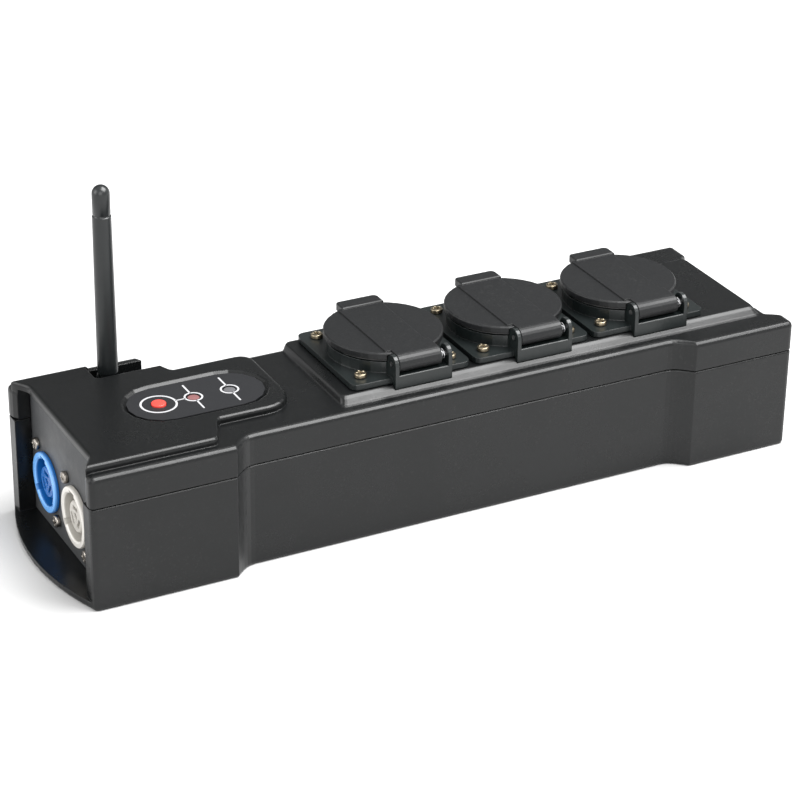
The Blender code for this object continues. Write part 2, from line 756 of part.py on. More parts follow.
def cover_platform(bm):
    """The low platform under the outlets, with sloping front and ends."""
    x0, x1 = OUTLET_XS[0] - FLANGE / 2 - PLATFORM_BEFORE, FAR - PLATFORM_STOP
    slope = ramp()
    y_top = slope[-1][0]
    y_back = OUTLET_CY + PLATFORM_BACK
    levels = [(slope[0][0], ROOF_Z + SINK)] + slope
    rings = []
    for y, z in levels:
        spread = PLATFORM_SIDES * (y_top - y)
        outline = rounded_box((x0 - spread, x1 + spread), (y, y_back), PLATFORM_ROUND)
        rings.append([(px, py, z) for px, py in outline])
    add_rings(bm, rings)


def cover_cavity(bm):
    plan = cavity_plan(NEAR + NEAR_PANEL, FAR - FAR_PANEL, cover_back_inner)
    add_prism(bm, plan, PARTING - PAST, ROOF_Z)


def cover_bays(bm):
    """Both bays; the near one reaches up into the plateau, with room for its panel."""
    add_box(bm, (NEAR - PAST, PANEL_X + PANEL_THICK + GAP), (-SIDE, SIDE), (PARTING - 2 * PAST, BAY_ROOF_Z))
    add_box(bm, (FAR - FAR_PANEL - GAP, FAR + PAST), (-SIDE, SIDE), (PARTING - 2 * PAST, ROOF_Z))


def cover_channel(bm):
    """The aerial's channel: closed at its near end and open along the narrow back."""
    x0, open_x = CHANNEL_XS
    x1 = FLARE_BACK_X + SWEEP_BACK + 2 * PAST
    y0, y1 = CHANNEL_YS
    r = CHANNEL_ROUND
    outline = arc(x0 + r, y0 + r, r, 180, 270, 3)
    outline += [(x1, y0), (x1, BACK + PAST), (open_x, BACK + PAST), (open_x, y1)]
    outline += arc(x0 + r, y1 - r, r, 90, 180, 3)
    add_prism(bm, outline, CHANNEL_Z, TOP + PAST)


def board_posts():
    """Places of the receiver board's screws."""
    xs = (BOARD_XS[0] + BOARD_POST, BOARD_XS[1] - BOARD_POST)
    half = BOARD_WIDE / 2 - BOARD_POST
    return [(x, y) for x in xs for y in (OVAL_CY - half, OVAL_CY + half)]


def cover_posts(bm):
    for x, y in pillar_spots():
        add_cylinder(bm, x, y, PILLAR_R - GAP, COVER_Z, ROOF_Z + SINK, count=12)
    for x, y in board_posts():
        add_turned(bm, [(PEG_R, BOARD_Z - PEG_PAST), (PEG_R, BOARD_TOP + GAP), (POST_R, BOARD_TOP + GAP),
                        (POST_R, ROOF_Z + SINK)], x, y, "Z", 8)


def cover_oval(bm):
    """The controls' oval: a flat floor and a soft slope up to the plateau."""
    levels = ((0.0, 0.0), (0.25, 0.15), (0.5, 0.5), (0.75, 0.85), (1.0, 1.0))
    rings = []
    for across, up in levels:
        outline = stadium(OVAL_XS, OVAL_CY, OVAL_WIDE, OVAL_SLOPE * (across - 0.5))
        rings.append([(x, y, OVAL_FLOOR + OVAL_DEEP * up) for x, y in outline])
    rings.append([(x, y, TOP + PAST) for x, y, _ in rings[-1]])
    add_rings(bm, rings)


def cover_holes(bm):
    """Outlet, control and screw holes."""
    low, high = ROOF_Z - PAST, TOP + PAST
    for x in OUTLET_XS:
        add_cylinder(bm, x, OUTLET_CY, TURRET_R + 2 * GAP, low, high, count=32)
        for sx, sy in SCREW_SIGNS:
            add_cylinder(bm, x + sx * SCREW_SQUARE / 2, OUTLET_CY + sy * SCREW_SQUARE / 2,
                         M3_R + GAP, low, high, count=8)
    add_cylinder(bm, BUTTON_CX, OVAL_CY, BUTTON_R + GAP, low, high, count=16)
    for x in LAMP_XS:
        add_cylinder(bm, x, OVAL_CY, LAMP_R + GAP, low, high, count=12)
    for x, y in pillar_spots():
        add_cylinder(bm, x, y, M3_R + GAP, PARTING - PAST, ROOF_Z - ROOF, count=8)
    add_cylinder(bm, AERIAL_CX, AERIAL_CY, JACK_R + GAP, PARTING - PAST, CHANNEL_Z + PAST, count=12)


def make_top_cover():
    cover = solid("top_cover", cover_body, BLACK)
    fuse(cover, cover_plateau, "plateau")
    fuse(cover, cover_platform, "platform")
    cut(cover, cover_cavity, "cavity")
    cut(cover, cover_bays, "bays")
    cut(cover, cover_channel, "channel")
    fuse(cover, cover_posts, "posts")
    cut(cover, cover_oval, "oval")
    cut(cover, cover_holes, "holes")
    return cover


# End panels
def panel_sides():
    """Plate edges inside the housing's walls."""
    return FRONT + WALL + GAP, BACK - WALL - GAP


def near_ports():
    """Names and centres of the two power connectors."""
    return [("power_inlet", INLET_CY, BLUE), ("power_outlet", OUTPUT_CY, GREY)]


def port_screws(y, z, flip=1):
    """Two screws on the connector's diagonal."""
    return [(y + flip * PORT_SCREW_Y, z + PORT_SCREW_Z), (y - flip * PORT_SCREW_Y, z - PORT_SCREW_Z)]


def make_connector_panel():
    """The near panel, its middle taller to fill the bay up under the plateau."""
    y0, y1 = panel_sides()
    step, high = SIDE - GAP, BAY_ROOF_Z - GAP
    outline = [(y0, PANEL_LOW), (y1, PANEL_LOW), (y1, PANEL_HIGH), (step, PANEL_HIGH), (step, high),
               (-step, high), (-step, PANEL_HIGH), (y0, PANEL_HIGH)]
    panel = solid("connector_panel", lambda bm: add_prism(
        bm, outline, PANEL_X, PANEL_X + PANEL_THICK, "X"), PANEL_GREY)

    def holes(bm):
        low, past = PANEL_X - PAST, PANEL_X + PAST
        for _, y, _ in near_ports():
            add_cylinder(bm, y, PORT_Z, PORT_BODY_R + GAP, low, past, "X", 24)
            for sy, sz in port_screws(y, PORT_Z):
                add_cylinder(bm, sy, sz, M3_R + GAP, low, past, "X", 8)
    cut(panel, holes, "holes")
    return panel


def make_dmx_panel():
    y0, y1 = panel_sides()
    x = FAR_PANEL_X - PANEL_THICK
    panel = solid("dmx_panel", lambda bm: add_box(
        bm, (x, x + PANEL_THICK), (y0, y1), (PANEL_LOW, PANEL_HIGH)), PANEL_GREY)

    def holes(bm):
        add_cylinder(bm, 0.0, DMX_Z, DMX_BODY_R + GAP, x - PAST, x + PAST, "X", 24)
        for sy, sz in port_screws(0.0, DMX_Z, -1):
            add_cylinder(bm, sy, sz, M3_R + GAP, x - PAST, x + PAST, "X", 8)

    def latch_slot(bm):
        add_box(bm, (x - PAST, x + PAST), (-LATCH_WIDE / 2 - GAP, LATCH_WIDE / 2 + GAP),
                (latch_low() - GAP, latch_low() + LATCH_HIGH + GAP))
    cut(panel, holes, "holes")
    cut(panel, latch_slot, "latch_slot")
    return panel


# Power connectors
def blade_angles():
    """Directions of the three blades inside a power connector."""
    return [math.radians(a) for a in (90, 210, 330)]


def blade_outline(y, z, angle):
    """A blade slot's section, its wide side across the radius."""
    a, b = BLADE_WIDE / 2, BLADE_THICK / 2
    c, s = math.cos(angle), math.sin(angle)
    mid = (y + BLADE_RING * c, z + BLADE_RING * s)
    corners = [(-b, -a), (b, -a), (b, a), (-b, a)]
    return [(mid[0] + u * c - v * s, mid[1] + u * s + v * c) for u, v in corners]


def make_port(name, y, look):
    face = PANEL_X - GAP - PORT_PROUD
    profile = [(PORT_RING_R - PORT_EDGE, face), (PORT_RING_R, face + PORT_EDGE),
               (PORT_RING_R, PANEL_X - GAP), (PORT_BODY_R, PANEL_X - GAP + 0.0001),
               (PORT_BODY_R, PORT_BACK)]
    port = solid(name, lambda bm: add_turned(bm, profile, y, PORT_Z, "X", 24), look)

    def well(bm):
        low, high = face - PAST, face + PORT_WELL
        ring = [(PORT_CORE_R, low), (PORT_WELL_R, low), (PORT_WELL_R, high), (PORT_CORE_R, high)]
        add_turned(bm, ring, y, PORT_Z, "X", 24, closed=True)

    def core_face(bm):
        mid_r = (PORT_CORE_R + PORT_WELL_R) / 2
        add_cylinder(bm, y, PORT_Z, mid_r, face - 2 * PAST, face + PORT_CORE_BACK, "X", 20)

    def slots(bm):
        for angle in blade_angles():
            add_prism(bm, blade_outline(y, PORT_Z, angle), face - PAST, face + BLADE_DEEP, "X")
    cut(port, well, "well")
    cut(port, core_face, "core")
    cut(port, slots, "slots")


# DMX output
def latch_low():
    """Bottom of the latch's slot, above the connector's well."""
    return DMX_Z + DMX_WELL_R + LATCH_ABOVE


def dmx_face():
    """X of the DMX connector's front face."""
    return FAR_PANEL_X + GAP + DMX_FLANGE_THICK


def dmx_pins():
    """Places of the output's contact holes, on part of a circle."""
    spots = []
    for i in range(DMX_PINS):
        angle = math.radians(-54 - 72 * i + 180)
        spots.append((DMX_PIN_RING * math.cos(angle), DMX_Z + DMX_PIN_RING * math.sin(angle)))
    return spots


def make_dmx_output():
    face = dmx_face()
    back = face - DMX_DEEP
    half_y, half_z = DMX_FLANGE_Y / 2, DMX_FLANGE_Z / 2

    def body(bm):
        outline = rounded_box((-half_y, half_y), (DMX_Z - half_z, DMX_Z + half_z), DMX_FLANGE_ROUND, 2)
        add_prism(bm, outline, face - DMX_FLANGE_THICK, face, "X")

    def barrel(bm):
        add_cylinder(bm, 0.0, DMX_Z, DMX_BODY_R, back, face - SINK, "X", 24)

    def well(bm):
        low, high = face - DMX_WELL, face + PAST
        ring = [(DMX_CORE_R, low), (DMX_WELL_R, low), (DMX_WELL_R, high), (DMX_CORE_R, high)]
        add_turned(bm, ring, 0.0, DMX_Z, "X", 24, closed=True)

    def holes(bm):
        for y, z in dmx_pins():
            add_cylinder(bm, y, z, DMX_PIN_HOLE, face - DMX_WELL, face + PAST, "X", 8)
        for y, z in port_screws(0.0, DMX_Z, -1):
            add_cylinder(bm, y, z, M3_R + GAP, face - PAST, face + PAST, "X", 8)
        low = latch_low()
        deep = face - LATCH_DEEP - LATCH_TRAVEL - GAP
        add_box(bm, (deep, face + PAST), (-LATCH_WIDE / 2 - GAP, LATCH_WIDE / 2 + GAP),
                (low - GAP, low + LATCH_HIGH + GAP))
    output = solid("dmx_output", body, DARK)
    fuse(output, barrel, "barrel")
    cut(output, well, "well")
    cut(output, holes, "holes")

    def latch(bm):
        low = latch_low()
        add_box(bm, (face - LATCH_DEEP, face + LATCH_PROUD), (-LATCH_WIDE / 2, LATCH_WIDE / 2),
                (low, low + LATCH_HIGH))
    tab = solid("dmx_latch", latch, STEEL)
    set_origin(tab, (face, 0.0, latch_low() + LATCH_HIGH / 2))
    return output


# Outlets
def recess_outline(x):
    """The plug recess from above: a circle with two guide ribs and two clip slots.

    One quarter is worked out and mirrored into the other three.
    """
    rib = RIB_WIDE / 2
    slot = CLIP_WIDE / 2 + GAP
    start = math.degrees(math.asin(rib / RECESS_R))
    stop = math.degrees(math.acos(slot / RECESS_R))
    quarter = [(RECESS_R - RIB_DEEP, rib)] + arc(0.0, 0.0, RECESS_R, start, stop, 7)
    quarter += [(slot, CLIP_OUT + GAP)]
    second = [(-a, b) for a, b in reversed(quarter)]
    third = [(-a, -b) for a, b in quarter]
    fourth = [(a, -b) for a, b in reversed(quarter)]
    return [(x + a, OUTLET_CY + b) for a, b in quarter + second + third + fourth]


def hinge_span(x):
    """X of the hinge's parts: left ear, knuckle, spring room and right ear."""
    left = x + HINGE_SHIFT - KNUCKLE / 2
    right = left + KNUCKLE
    return {"knuckle": (left, right), "left": (left - GAP - EAR, left - GAP),
            "right": (right + SPRING_ROOM, right + SPRING_ROOM + EAR),
            "spring": (right, right + SPRING_ROOM)}


def ramp():
    """Points (y, z) of the platform's front slope, from its foot to its top."""
    top_y = OUTLET_CY - FLANGE / 2 - GAP
    heights = ((1.0, 0.0), (0.75, 0.15), (0.40, 0.70), (0.15, 0.95), (0.0, 1.0))
    return [(top_y - PLATFORM_RAMP * t, EDGE_HEIGHT + RAISE * h) for t, h in heights]


def hinge_foot(y_start):
    """Underside of the hinge's parts: along the slope with a gap, then under the flange."""
    slope = ramp()
    points = []
    for (ya, za), (yb, zb) in zip(slope, slope[1:]):
        if ya < y_start < yb:
            points.append((y_start, za + (zb - za) * (y_start - ya) / (yb - ya) + GAP))
        if yb > y_start:
            points.append((yb, zb + GAP))
    return points


def ear_outline():
    """Side view of an ear: round over the hinge's axis, down to the slope."""
    back = HINGE_CY + HINGE_R + EAR_BACK
    return (hinge_foot(HINGE_CY - HINGE_R)
            + [(back, FLANGE_Z), (back, FLANGE_TOP + EAR_BACK), (HINGE_CY + HINGE_R, HINGE_Z - 2 * GAP)]
            + arc(HINGE_CY, HINGE_Z, HINGE_R, 0, 180, 8))


def block_outline():
    """Side view of the block under the knuckle."""
    y0, y1 = HINGE_CY - HINGE_R, HINGE_CY + HINGE_R / 2
    top = HINGE_Z - HINGE_R - GAP
    return hinge_foot(y0) + [(y1, FLANGE_Z), (y1, top), (y0 + GAP, top), (y0, top - GAP)]


def make_outlet(index, x):
    half = FLANGE / 2

    def flange(bm):
        add_prism(bm, rounded_box((x - half, x + half), (OUTLET_CY - half, OUTLET_CY + half),
                                  FLANGE_ROUND), FLANGE_Z, FLANGE_TOP)

    def turret(bm):
        add_cylinder(bm, x, OUTLET_CY, TURRET_R, BODY_Z, TURRET_TOP, count=32)

    def hinge_block(bm):
        span = hinge_span(x)
        add_prism(bm, ear_outline(), *span["left"], "X")
        add_prism(bm, ear_outline(), *span["right"], "X")

    def hinge_bar(bm):
        span = hinge_span(x)
        add_prism(bm, block_outline(), span["left"][0] + EAR / 2, span["right"][1] - EAR / 2, "X")

    def recess(bm):
        add_prism(bm, recess_outline(x), RECESS_Z, TURRET_TOP + PAST)

    def holes(bm):
        for side in (-1, 1):
            px = x + side * PIN_SPACING / 2
            add_cylinder(bm, px, OUTLET_CY, PIN_HOLE_R, RECESS_Z - PAST, RECESS_Z + PAST, count=12)
            y0 = OUTLET_CY + side * (CLIP_OUT + GAP)
            y1 = OUTLET_CY + side * (CLIP_OUT - CLIP_THICK - GAP)
            add_box(bm, (x - CLIP_WIDE / 2 - GAP, x + CLIP_WIDE / 2 + GAP), (min(y0, y1), max(y0, y1)),
                    (BODY_Z - PAST, RECESS_Z + PAST))
            for sx in (-1, 1):
                add_cylinder(bm, x + sx * SCREW_SQUARE / 2, OUTLET_CY + side * SCREW_SQUARE / 2,
                             M3_R + GAP, FLANGE_Z - PAST, FLANGE_TOP + PAST, count=8)

    def chambers(bm):
        for side in (-1, 1):
            add_cylinder(bm, x + side * PIN_SPACING / 2, OUTLET_CY, CHAMBER_R, BODY_Z - PAST,
                         RECESS_Z - CHAMBER_ROOF, count=10)

    def axle_hole(bm):
        span = hinge_span(x)
        add_cylinder(bm, HINGE_CY, HINGE_Z, HINGE_PIN_R + GAP, span["left"][0] - PAST,
                     span["right"][1] + PAST, "X", 8)

    def knuckle_room(bm):
        span = hinge_span(x)
        add_cylinder(bm, HINGE_CY, HINGE_Z, HINGE_R + GAP, span["knuckle"][0] - GAP,
                     span["spring"][1], "X", 20)

    outlet = solid("outlet_%d" % index, flange, BLACK)
    fuse(outlet, turret, "turret")
    fuse(outlet, hinge_bar, "hinge_bar")
    cut(outlet, knuckle_room, "knuckle_room")
    fuse(outlet, hinge_block, "ears")
    cut(outlet, recess, "recess")
    cut(outlet, holes, "holes")
    cut(outlet, chambers, "chambers")
    cut(outlet, axle_hole, "axle_hole")
    return outlet


def earth_clip(bm, x):
    """A strip under the outlet, bent up into a spring leg in each side slot."""
    foot = BODY_Z - GAP
    t = CLIP_THICK
    outer = CLIP_OUT
    top = TURRET_TOP - CLIP_LOW
    bow = top - CLIP_BEND
    knee = RECESS_Z + CLIP_BOW
    right = [(outer, foot - t), (outer, knee), (outer - CLIP_BOW, bow), (outer, top)]
    inner = [(outer - t, top), (outer - t - CLIP_BOW, bow), (outer - t, knee),
             (outer - t, foot)]
    half = right + inner
    outline = half + [(-a, b) for a, b in reversed(half)]
    add_prism(bm, [(OUTLET_CY + a, b) for a, b in outline], x - CLIP_WIDE / 2, x + CLIP_WIDE / 2, "X")


def make_earth_bar():
    """The earth rail: three pairs of spring legs on one strip."""
    def rail(bm):
        add_box(bm, (OUTLET_XS[0] - BAR_WIDE, OUTLET_XS[-1] + BAR_WIDE),
                (OUTLET_CY + EARTH_SIDE - BAR_WIDE / 2, OUTLET_CY + EARTH_SIDE + BAR_WIDE / 2),
                (BODY_Z - GAP - CLIP_THICK, BODY_Z - GAP))
    bar = solid("earth_bar", rail, NICKEL)
    for i, x in enumerate(OUTLET_XS, start=1):
        fuse(bar, lambda bm, at=x: earth_clip(bm, at), "clip_%d" % i)


# Lids
def make_lid(index, x):
    """A round lid with a raised band, a lift tab at the back and the hinge's knuckle."""
    span = hinge_span(x)

    def disc(bm):
        add_turned(bm, [(LID_R, LID_Z), (LID_R, LID_TOP - LID_EDGE), (LID_R - LID_EDGE, LID_TOP)],
                   x, OUTLET_CY, "Z", 40)

    def skirt(bm):
        low, high = LID_Z - SKIRT_DEEP, LID_Z + SINK
        inner = SKIRT_R - SKIRT_WALL
        add_turned(bm, [(inner, low), (SKIRT_R, low), (SKIRT_R, high), (inner, high)], x, OUTLET_CY, "Z",
                   24, closed=True)

    def band(bm):
        y0 = HINGE_CY + HINGE_R + 2 * GAP
        y1 = OUTLET_CY + TAB_START + SINK
        add_box(bm, (x - BAND_WIDE / 2, x + BAND_WIDE / 2), (y0, y1), (LID_TOP - SINK, LID_TOP + BAND_HIGH))

    def neck(bm):
        add_box(bm, span["knuckle"], (HINGE_CY, HINGE_CY + HINGE_R + NECK), (LID_Z, LID_TOP + BAND_HIGH))

    def knuckle(bm):
        add_cylinder(bm, HINGE_CY, HINGE_Z, HINGE_R, *span["knuckle"], "X", 20)

    def tab(bm):
        mid = x + TAB_SHIFT
        y0, y1 = OUTLET_CY + TAB_START, OUTLET_CY + TAB_REACH
        left, right = mid - TAB_WIDE / 2, mid + TAB_WIDE / 2
        top = LID_TOP + TAB_RISE
        r = TAB_ROUND
        levels = ((top - TAB_THICK, 0.0), (top - TAB_EDGE, 0.0), (top, TAB_EDGE))
        rings = []
        for z, inset in levels:
            outline = [(left + inset, y0 + inset), (right - inset, y0 + inset)]
            outline += arc(right - r, y1 - r, r - inset, 0, 90, 4)
            outline += arc(left + r / 2, y1 - r / 2, r / 2 - inset, 90, 180, 3)
            rings.append([(px, py, z) for px, py in outline])
        add_rings(bm, rings)

    def ear_room(bm):
        for side in ("left", "right"):
            a, b = span[side]
            add_cylinder(bm, HINGE_CY, HINGE_Z, HINGE_R + GAP, a - GAP, b + GAP - 0.0001, "X", 20)

    def axle_hole(bm):
        add_cylinder(bm, HINGE_CY, HINGE_Z, HINGE_PIN_R + GAP, span["knuckle"][0] - PAST,
                     span["knuckle"][1] + PAST, "X", 8)

    lid = solid("lid_%d" % index, disc, BLACK)
    fuse(lid, skirt, "skirt")
    cut(lid, ear_room, "ear_room")
    fuse(lid, neck, "neck")
    fuse(lid, band, "band")
    fuse(lid, tab, "tab")
    fuse(lid, knuckle, "knuckle")
    cut(lid, axle_hole, "axle_hole")
    set_origin(lid, (x, HINGE_CY, HINGE_Z))
    return lid


def make_lid_seal(index, x):
    low, high = TURRET_TOP + GAP, LID_Z - GAP
    inner = SEAL_R - SEAL_WIDE
    seal = solid("lid_seal_%d" % index, lambda bm: add_turned(
        bm, [(inner, low), (SEAL_R, low), (SEAL_R, high), (inner, high)], x, OUTLET_CY, "Z", 24,
        closed=True), RUBBER)
    cut(seal, lambda bm: add_cylinder(bm, HINGE_CY, HINGE_Z, HINGE_R + 2 * GAP,
                                      x - LID_R, x + LID_R, "X", 16), "hinge_room")
    set_origin(seal, (x, HINGE_CY, HINGE_Z))
    return seal


def make_hinge_pin(index, x):
    span = hinge_span(x)
    return solid("hinge_pin_%d" % index, lambda bm: add_cylinder(
        bm, HINGE_CY, HINGE_Z, HINGE_PIN_R, span["left"][0], span["right"][1], "X", 8), STEEL)


def make_lid_spring(index, x):
    """A torsion spring round the pin, between the knuckle and the right ear."""
    span = hinge_span(x)
    middle = sum(span["spring"]) / 2
    per_turn = 8
    count = SPRING_TURNS * per_turn
    length = SPRING_TURNS * SPRING_PITCH
    points = []
    for i in range(count + 1):
        angle = 2 * math.pi * i / per_turn
        points.append((middle - length / 2 + length * i / count,
                       HINGE_CY + SPRING_R * math.cos(angle), HINGE_Z + SPRING_R * math.sin(angle)))
    return tube("lid_spring_%d" % index, [points], SPRING_WIRE, STEEL)


def tube(name, routes, radius, look, detail=1):
    """Round tubes along lists of points, as one curve object with closed ends."""
    data = bpy.data.curves.new(name, "CURVE")
    data.dimensions = "3D"
    data.bevel_depth = radius
    data.bevel_resolution = detail
    data.use_fill_caps = True
    for route in routes:
        spline = data.splines.new("POLY")
        spline.points.add(len(route) - 1)
        for spot, point in zip(spline.points, route):
            spot.co = (*point, 1.0)
    data.materials.append(look)
    made = bpy.data.objects.new(name, data)
    bpy.context.scene.collection.objects.link(made)
    return made


def smooth_route(points, step=0.0040):
    """Points along a smooth curve through the given ones."""
    spots = [Vector(p) for p in points]
    ends = [2 * spots[0] - spots[1]] + spots + [2 * spots[-1] - spots[-2]]
    out = []
    for i in range(1, len(ends) - 2):
        p0, p1, p2, p3 = ends[i - 1:i + 3]
        count = max(2, round((p2 - p1).length / step))
        for k in range(count):
            t = k / count
            out.append(0.5 * (2 * p1 + (p2 - p0) * t + (2 * p0 - 5 * p1 + 4 * p2 - p3) * t * t
                              + (3 * p1 - p0 - 3 * p2 + p3) * t ** 3))
    return out + [spots[-1]]


# Controls
def make_overlay():
    overlay = solid("control_overlay", lambda bm: add_prism(
        bm, stadium(OVAL_XS, OVAL_CY, OVAL_WIDE, -OVAL_SLOPE / 2 - GAP), OVERLAY_Z,
        OVERLAY_Z + OVERLAY_THICK), OVERLAY)

    def holes(bm):
        add_cylinder(bm, BUTTON_CX, OVAL_CY, BUTTON_R + GAP, OVAL_FLOOR - PAST, TOP, count=16)
        for x in LAMP_XS:
            add_cylinder(bm, x, OVAL_CY, LAMP_R + GAP, OVAL_FLOOR - PAST, TOP, count=12)
    cut(overlay, holes, "holes")


def make_button():
    """The button, held under the roof by its collar."""
    rim = ROOF_Z - GAP
    high = OVERLAY_Z + OVERLAY_THICK + BUTTON_PROUD
    r = BUTTON_R
    profile = [(r + COLLAR, rim - COLLAR_THICK), (r + COLLAR, rim), (r, rim + 0.0001),
               (r, high - BUTTON_EDGE), (r - BUTTON_EDGE, high)]
    button = solid("function_button", lambda bm: add_turned(bm, profile, BUTTON_CX, OVAL_CY, "Z", 16), RED)
    set_origin(button, (BUTTON_CX, OVAL_CY, rim))


def make_lenses():
    """Light pipes from the board's lamps up to the overlay."""
    rim = ROOF_Z - GAP
    wide = LAMP_R + COLLAR / 2
    profile = [(LAMP_R, BOARD_TOP + DIODE_HIGH + GAP), (LAMP_R, rim - COLLAR_THICK),
               (wide, rim - COLLAR_THICK + 0.0001), (wide, rim), (LAMP_R, rim + 0.0001),
               (LAMP_R, OVERLAY_Z + OVERLAY_THICK)]
    for i, x in enumerate(LAMP_XS, start=1):
        solid("lamp_lens_%d" % i, lambda bm: add_turned(bm, profile, x, OVAL_CY, "Z", 12), LAMP)


# Boards and what they carry
def board_span(share):
    """X of a part on the receiver board, from its shares of the board's length."""
    long = BOARD_XS[1] - BOARD_XS[0]
    return BOARD_XS[0] + share[0] * long, BOARD_XS[0] + share[1] * long


def radio_box():
    """X, Y and Z of the radio module under the board."""
    y0 = OVAL_CY + RADIO_SIDE
    return board_span(RADIO), (y0, y0 + RADIO_WIDE), (BOARD_Z - GAP - RADIO_THICK, BOARD_Z - GAP)


def make_receiver_board():
    """The receiver board with its small parts, hung on pegs under the controls."""
    mid = OVAL_CY
    plunger = ROOF_Z - GAP - COLLAR_THICK - BUTTON_TRAVEL - GAP
    board = solid("receiver_board", lambda bm: add_box(
        bm, BOARD_XS, (mid - BOARD_WIDE / 2, mid + BOARD_WIDE / 2), (BOARD_Z, BOARD_TOP)), BOARD)

    def holes(bm):
        for x, y in board_posts():
            add_cylinder(bm, x, y, PEG_R + GAP, BOARD_Z - PAST, BOARD_TOP + PAST, count=8)
    cut(board, holes, "holes")

    inside = BOARD_Z + BOARD_THICK / 2

    def under(bm):
        add_box(bm, board_span(CHIP), (mid - CHIP_WIDE, mid), (BOARD_Z - CHIP_THICK, inside))
        add_box(bm, board_span(SOCKET), (mid - SOCKET_WIDE / 2, mid + SOCKET_WIDE / 2),
                (BOARD_Z - SOCKET_HIGH, inside))

    def over(bm):
        for x in LAMP_XS:
            add_box(bm, (x - DIODE, x + DIODE), (mid - DIODE_HALF, mid + DIODE_HALF),
                    (inside, BOARD_TOP + DIODE_HIGH))
        add_box(bm, (BUTTON_CX - SWITCH, BUTTON_CX + SWITCH), (mid - SWITCH, mid + SWITCH),
                (inside, plunger - KEY_HIGH))

    def key(bm):
        add_cylinder(bm, BUTTON_CX, mid, KEY_R, plunger - 2 * KEY_HIGH, plunger, count=8)
    fuse(board, under, "under")
    fuse(board, over, "over")
    fuse(board, key, "key")
    solid("radio_module", lambda bm: add_box(bm, *radio_box()), SHIELD)


def make_supply_board():
    top = SUPPLY_Z + BOARD_THICK
    board = solid("supply_board", lambda bm: add_box(bm, SUPPLY_XS, SUPPLY_YS, (SUPPLY_Z, top)), BOARD)

    def holes(bm):
        for x, y in supply_posts():
            add_cylinder(bm, x, y, PEG_R + GAP, SUPPLY_Z - PAST, top + PAST, count=8)
    cut(board, holes, "holes")
    x0, y1 = SUPPLY_XS[0] + COIL_IN, SUPPLY_YS[1] - COIL_BEFORE
    solid("supply_transformer", lambda bm: add_box(
        bm, (x0, x0 + COIL), (y1 - COIL_WIDE, y1), (top + GAP, top + GAP + COIL)), FERRITE)


def screw(bm, a, b, seat, tip, out, axis):
    """One screw: out is the side its head lies on, and seat is where the head rests."""
    profile = [(M3_R, tip), (M3_R, seat), (M3_HEAD_R, seat + out * 0.0001),
               (M3_HEAD_R, seat + out * M3_HEAD * 0.6), (M3_HEAD_R * 0.6, seat + out * M3_HEAD)]
    add_turned(bm, profile, a, b, axis, 8)


def make_screws():
    """Every screw its own object, numbered within its group."""
    spots = []
    for x, y in pillar_spots():
        spots.append(("case_screw", x, y, COUNTERBORE - GAP, ROOF_Z - ROOF - GAP, -1, "Z"))
    for x in OUTLET_XS:
        for sx, sy in SCREW_SIGNS:
            spots.append(("outlet_screw", x + sx * SCREW_SQUARE / 2, OUTLET_CY + sy * SCREW_SQUARE / 2,
                          FLANGE_TOP + GAP, ROOF_Z - OUTLET_SCREW, 1, "Z"))
    for _, y, _ in near_ports():
        for sy, sz in port_screws(y, PORT_Z):
            spots.append(("connector_screw", sy, sz, PANEL_X - GAP, PANEL_X + CONNECTOR_SCREW, -1, "X"))
    counts = {}
    for group, a, b, seat, tip, out, axis in spots:
        counts[group] = counts.get(group, 0) + 1
        solid("%s_%d" % (group, counts[group]),
              lambda bm: screw(bm, a, b, seat, tip, out, axis), NICKEL)


# Mains bars and cable
def bar_outline(side, pole):
    """A flat bar beside the outlets' contacts, with a lug to each one."""
    y = OUTLET_CY + side * BAR_SIDE
    outer, inner = y + side * BAR_WIDE / 2, y - side * BAR_WIDE / 2
    reach = OUTLET_CY - side * LUG
    points = [(BAR_START, inner)]
    for x in OUTLET_XS:
        mid = x + pole * PIN_SPACING / 2
        points += [(mid - LUG, inner), (mid - LUG, reach), (mid + LUG, reach), (mid + LUG, inner)]
    end = OUTLET_XS[-1] + PIN_SPACING / 2 + LUG + BAR_PAST
    points += [(end, inner), (end, outer), (BAR_START, outer)]
    return points


def sleeve(bm, x):
    """A contact sleeve for one plug pin, on a stud that reaches into its bar."""
    top = RECESS_Z - CHAMBER_ROOF - GAP
    low = BODY_Z + CONTACT_R
    bore = CONTACT_R - CONTACT_WALL
    stud = LUG * 0.6
    add_turned(bm, [(stud, BAR_Z + BAR_THICK / 2), (stud, low - GAP), (CONTACT_R, low),
                    (CONTACT_R, top), (bore, top), (bore, low + CONTACT_R)], x, OUTLET_CY, "Z", 10)


def make_bars():
    for name, side, pole in (("line_bar", -1, -1), ("neutral_bar", 1, 1)):
        bar = solid(name, lambda bm, s=side, p=pole: add_prism(
            bm, bar_outline(s, p), BAR_Z, BAR_Z + BAR_THICK), COPPER)
        for i, x in enumerate(OUTLET_XS, start=1):
            at = x + pole * PIN_SPACING / 2
            fuse(bar, lambda bm, px=at: sleeve(bm, px), "sleeve_%d" % i)


